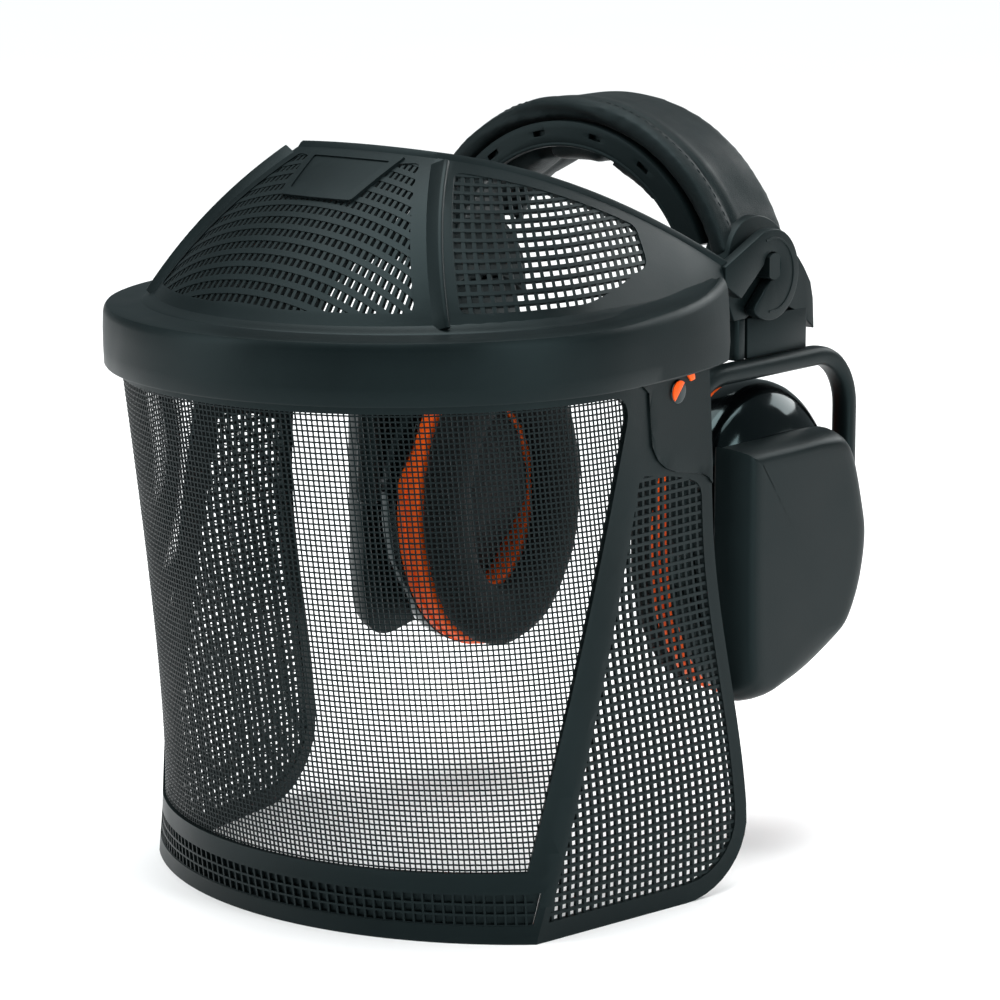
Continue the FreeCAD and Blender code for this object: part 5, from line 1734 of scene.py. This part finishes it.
class PROTECTOR_OT_cups(bpy.types.Operator):
    """Build the ear cups: cover, shell, back plate, cushion and liner"""

    bl_idname = "protector.cups"
    bl_label = "Ear cups"

    def execute(self, context):
        both_sides(build_cup_cover, "cup_cover_cap", "{side}_cup", "black_plastic", "cup_cover",
                   smooth_angle=28.0)
        both_sides(build_cup_shell, "cup_shell_dome", "{side}_cup", "gloss_shell", "cup_shell")
        both_sides(build_back_plate, "back_plate_ring", "{side}_cup", "orange_plastic", "back_plate")
        for side, sign in SIDES:
            for name, make, slot, node, fill, shape in (
                    ("cushion_ring", build_cushion_core, "cushion_skin", "ear_cushion", 0.7, cushion_shape),
                    ("liner_disc", build_liner_core, "liner_foam", "foam_liner", 0.4, liner_shape)):
                core = make()
                if sign < 0:
                    mirror_across(core)

                def on_side(place, normal, shape=shape, turn=Vector((sign, 1, 1))):
                    """The left side's shape, mirrored for the right."""
                    return shape(place * turn, normal * turn) * turn

                make_padded(f"{side}_{name}", core, f"{side}_cup", slot, [f"{side}_{node}"], on_side,
                            CUP_PAD_CAP)
        return {"FINISHED"}


class PROTECTOR_OT_finishes(bpy.types.Operator):
    """Give the frame's own parts that stay in sight their finishes"""

    bl_idname = "protector.finishes"
    bl_label = "Finishes"

    def execute(self, context):
        for row in frame["record"]["subparts"]:
            node = frame["nodes"][row["node"]]
            if not node.material_slots:
                node.data.materials.append(None)
            for place in node.material_slots:
                place.material = finish_for(row["material_slot"])
        return {"FINISHED"}


def add_light(name, place, aim, size_x, size_y, power):
    """A soft rectangular light; places are in metres."""
    light = bpy.data.lights.new(name, "AREA")
    light.shape = "RECTANGLE"
    light.size, light.size_y = size_x, size_y
    light.energy = power
    lamp = bpy.data.objects.new(name, light)
    bpy.context.scene.collection.objects.link(lamp)
    lamp.location = place
    lamp.rotation_euler = (Vector(aim) - Vector(place)).to_track_quat("-Z", "Y").to_euler()


class PROTECTOR_OT_stage(bpy.types.Operator):
    """Set up the pale floor, the soft light and the camera"""

    bl_idname = "protector.stage"
    bl_label = "Stage"

    def execute(self, context):
        scene = context.scene
        studio = scene.protector_studio
        bm = bmesh.new()
        bmesh.ops.create_circle(bm, cap_ends=True, segments=96, radius=14.0)
        bmesh.ops.translate(bm, vec=(0, 0, RIM_Z * MM), verts=bm.verts)
        mesh = bpy.data.meshes.new("studio_floor")
        bm.to_mesh(mesh)
        bm.free()
        floor = bpy.data.objects.new("studio_floor", mesh)
        scene.collection.objects.link(floor)
        mesh.materials.append(studio_floor("floor_finish"))

        world = bpy.data.worlds.new("studio_world")
        world.use_nodes = True
        sky = world.node_tree.nodes["Background"]
        sky.inputs["Color"].default_value = (0.8, 0.96, 1.0, 1.0)
        sky.inputs["Strength"].default_value = 0.22
        plain_sky = add_node(world.node_tree, "ShaderNodeBackground")
        plain_sky.inputs["Color"].default_value = (1.0, 1.0, 1.0, 1.0)
        rays = add_node(world.node_tree, "ShaderNodeLightPath")
        choice = add_node(world.node_tree, "ShaderNodeMixShader")
        links = world.node_tree.links
        links.new(rays.outputs["Is Camera Ray"], choice.inputs["Fac"])
        links.new(sky.outputs["Background"], choice.inputs[1])
        links.new(plain_sky.outputs["Background"], choice.inputs[2])
        links.new(choice.outputs["Shader"], world.node_tree.nodes["World Output"].inputs["Surface"])
        scene.world = world
        scene.view_settings.view_transform = "Standard"

        middle = Vector((0.0, studio.aim_y, studio.aim_z))
        sun = bpy.data.lights.new("sky_light", "SUN")
        sun.energy = 3.15
        sun.angle = math.radians(60.0)
        lamp = bpy.data.objects.new("sky_light", sun)
        scene.collection.objects.link(lamp)
        lamp.rotation_euler = Vector((-0.12, -0.04, 1.0)).to_track_quat("Z", "Y").to_euler()
        add_light("top_light", (0.1, -0.1, 1.3), middle, 1.1, 0.8, 12.0)
        add_light("front_light", (-0.95, -1.35, 0.45), middle, 0.5, 1.2, 13.0)
        add_light("side_light", (1.6, -0.15, 0.45), middle, 0.5, 1.2, 15.0)
        add_light("rear_light", (0.3, 1.5, 0.6), middle, 1.2, 0.6, 12.0)

        data = bpy.data.cameras.new("studio_camera")
        data.sensor_width = 36.0
        data.lens = studio.lens
        data.clip_start = 0.05
        data.clip_end = 60.0
        camera = bpy.data.objects.new("studio_camera", data)
        scene.collection.objects.link(camera)
        sine, cosine = math.sin(studio.azimuth), math.cos(studio.azimuth)
        lift = math.cos(studio.elevation)
        back = Vector((sine * lift, -cosine * lift, math.sin(studio.elevation)))
        camera.location = middle + back * studio.distance
        camera.rotation_euler = back.to_track_quat("Z", "Y").to_euler()
        scene.camera = camera
        return {"FINISHED"}


class PROTECTOR_PT_panel(bpy.types.Panel):
    """Lists what can be built"""

    bl_idname = "PROTECTOR_PT_panel"
    bl_label = "Face and Ear Protector"
    bl_space_type = "VIEW_3D"
    bl_region_type = "UI"
    bl_category = "Protector"

    def draw(self, context):
        layout = self.layout
        scene = context.scene
        for group in (scene.protector_finishes, scene.protector_meshwork, scene.protector_padding,
                      scene.protector_studio):
            box = layout.box()
            for field in group.bl_rna.properties:
                if not field.is_readonly and field.identifier != "name":
                    box.prop(group, field.identifier)
        for operator in STEPS:
            layout.operator(operator.bl_idname)


STEPS = (PROTECTOR_OT_stage, PROTECTOR_OT_visor, PROTECTOR_OT_guard, PROTECTOR_OT_knobs,
         PROTECTOR_OT_headband, PROTECTOR_OT_arms, PROTECTOR_OT_cups, PROTECTOR_OT_finishes)
GROUPS = (("protector_finishes", ProtectorFinishes), ("protector_meshwork", ProtectorMeshwork),
          ("protector_padding", ProtectorPadding), ("protector_studio", ProtectorStudio))


def register():
    """Register the classes and hang the settings on the scene."""
    for _, group in GROUPS:
        bpy.utils.register_class(group)
    for operator in STEPS:
        bpy.utils.register_class(operator)
    bpy.utils.register_class(PROTECTOR_PT_panel)
    for name, group in GROUPS:
        setattr(bpy.types.Scene, name, PointerProperty(type=group))


def unregister():
    """Take the settings and the classes away again."""
    for name, _ in GROUPS:
        delattr(bpy.types.Scene, name)
    bpy.utils.unregister_class(PROTECTOR_PT_panel)
    for operator in reversed(STEPS):
        bpy.utils.unregister_class(operator)
    for _, group in reversed(GROUPS):
        bpy.utils.unregister_class(group)


def main():
    """Build everything in order."""
    register()
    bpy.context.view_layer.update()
    bpy.ops.protector.stage()
    bpy.ops.protector.visor()
    bpy.ops.protector.guard()
    bpy.ops.protector.knobs()
    bpy.ops.protector.headband()
    bpy.ops.protector.arms()
    bpy.ops.protector.cups()
    bpy.ops.protector.finishes()


if __name__ == "__main__":
    main()
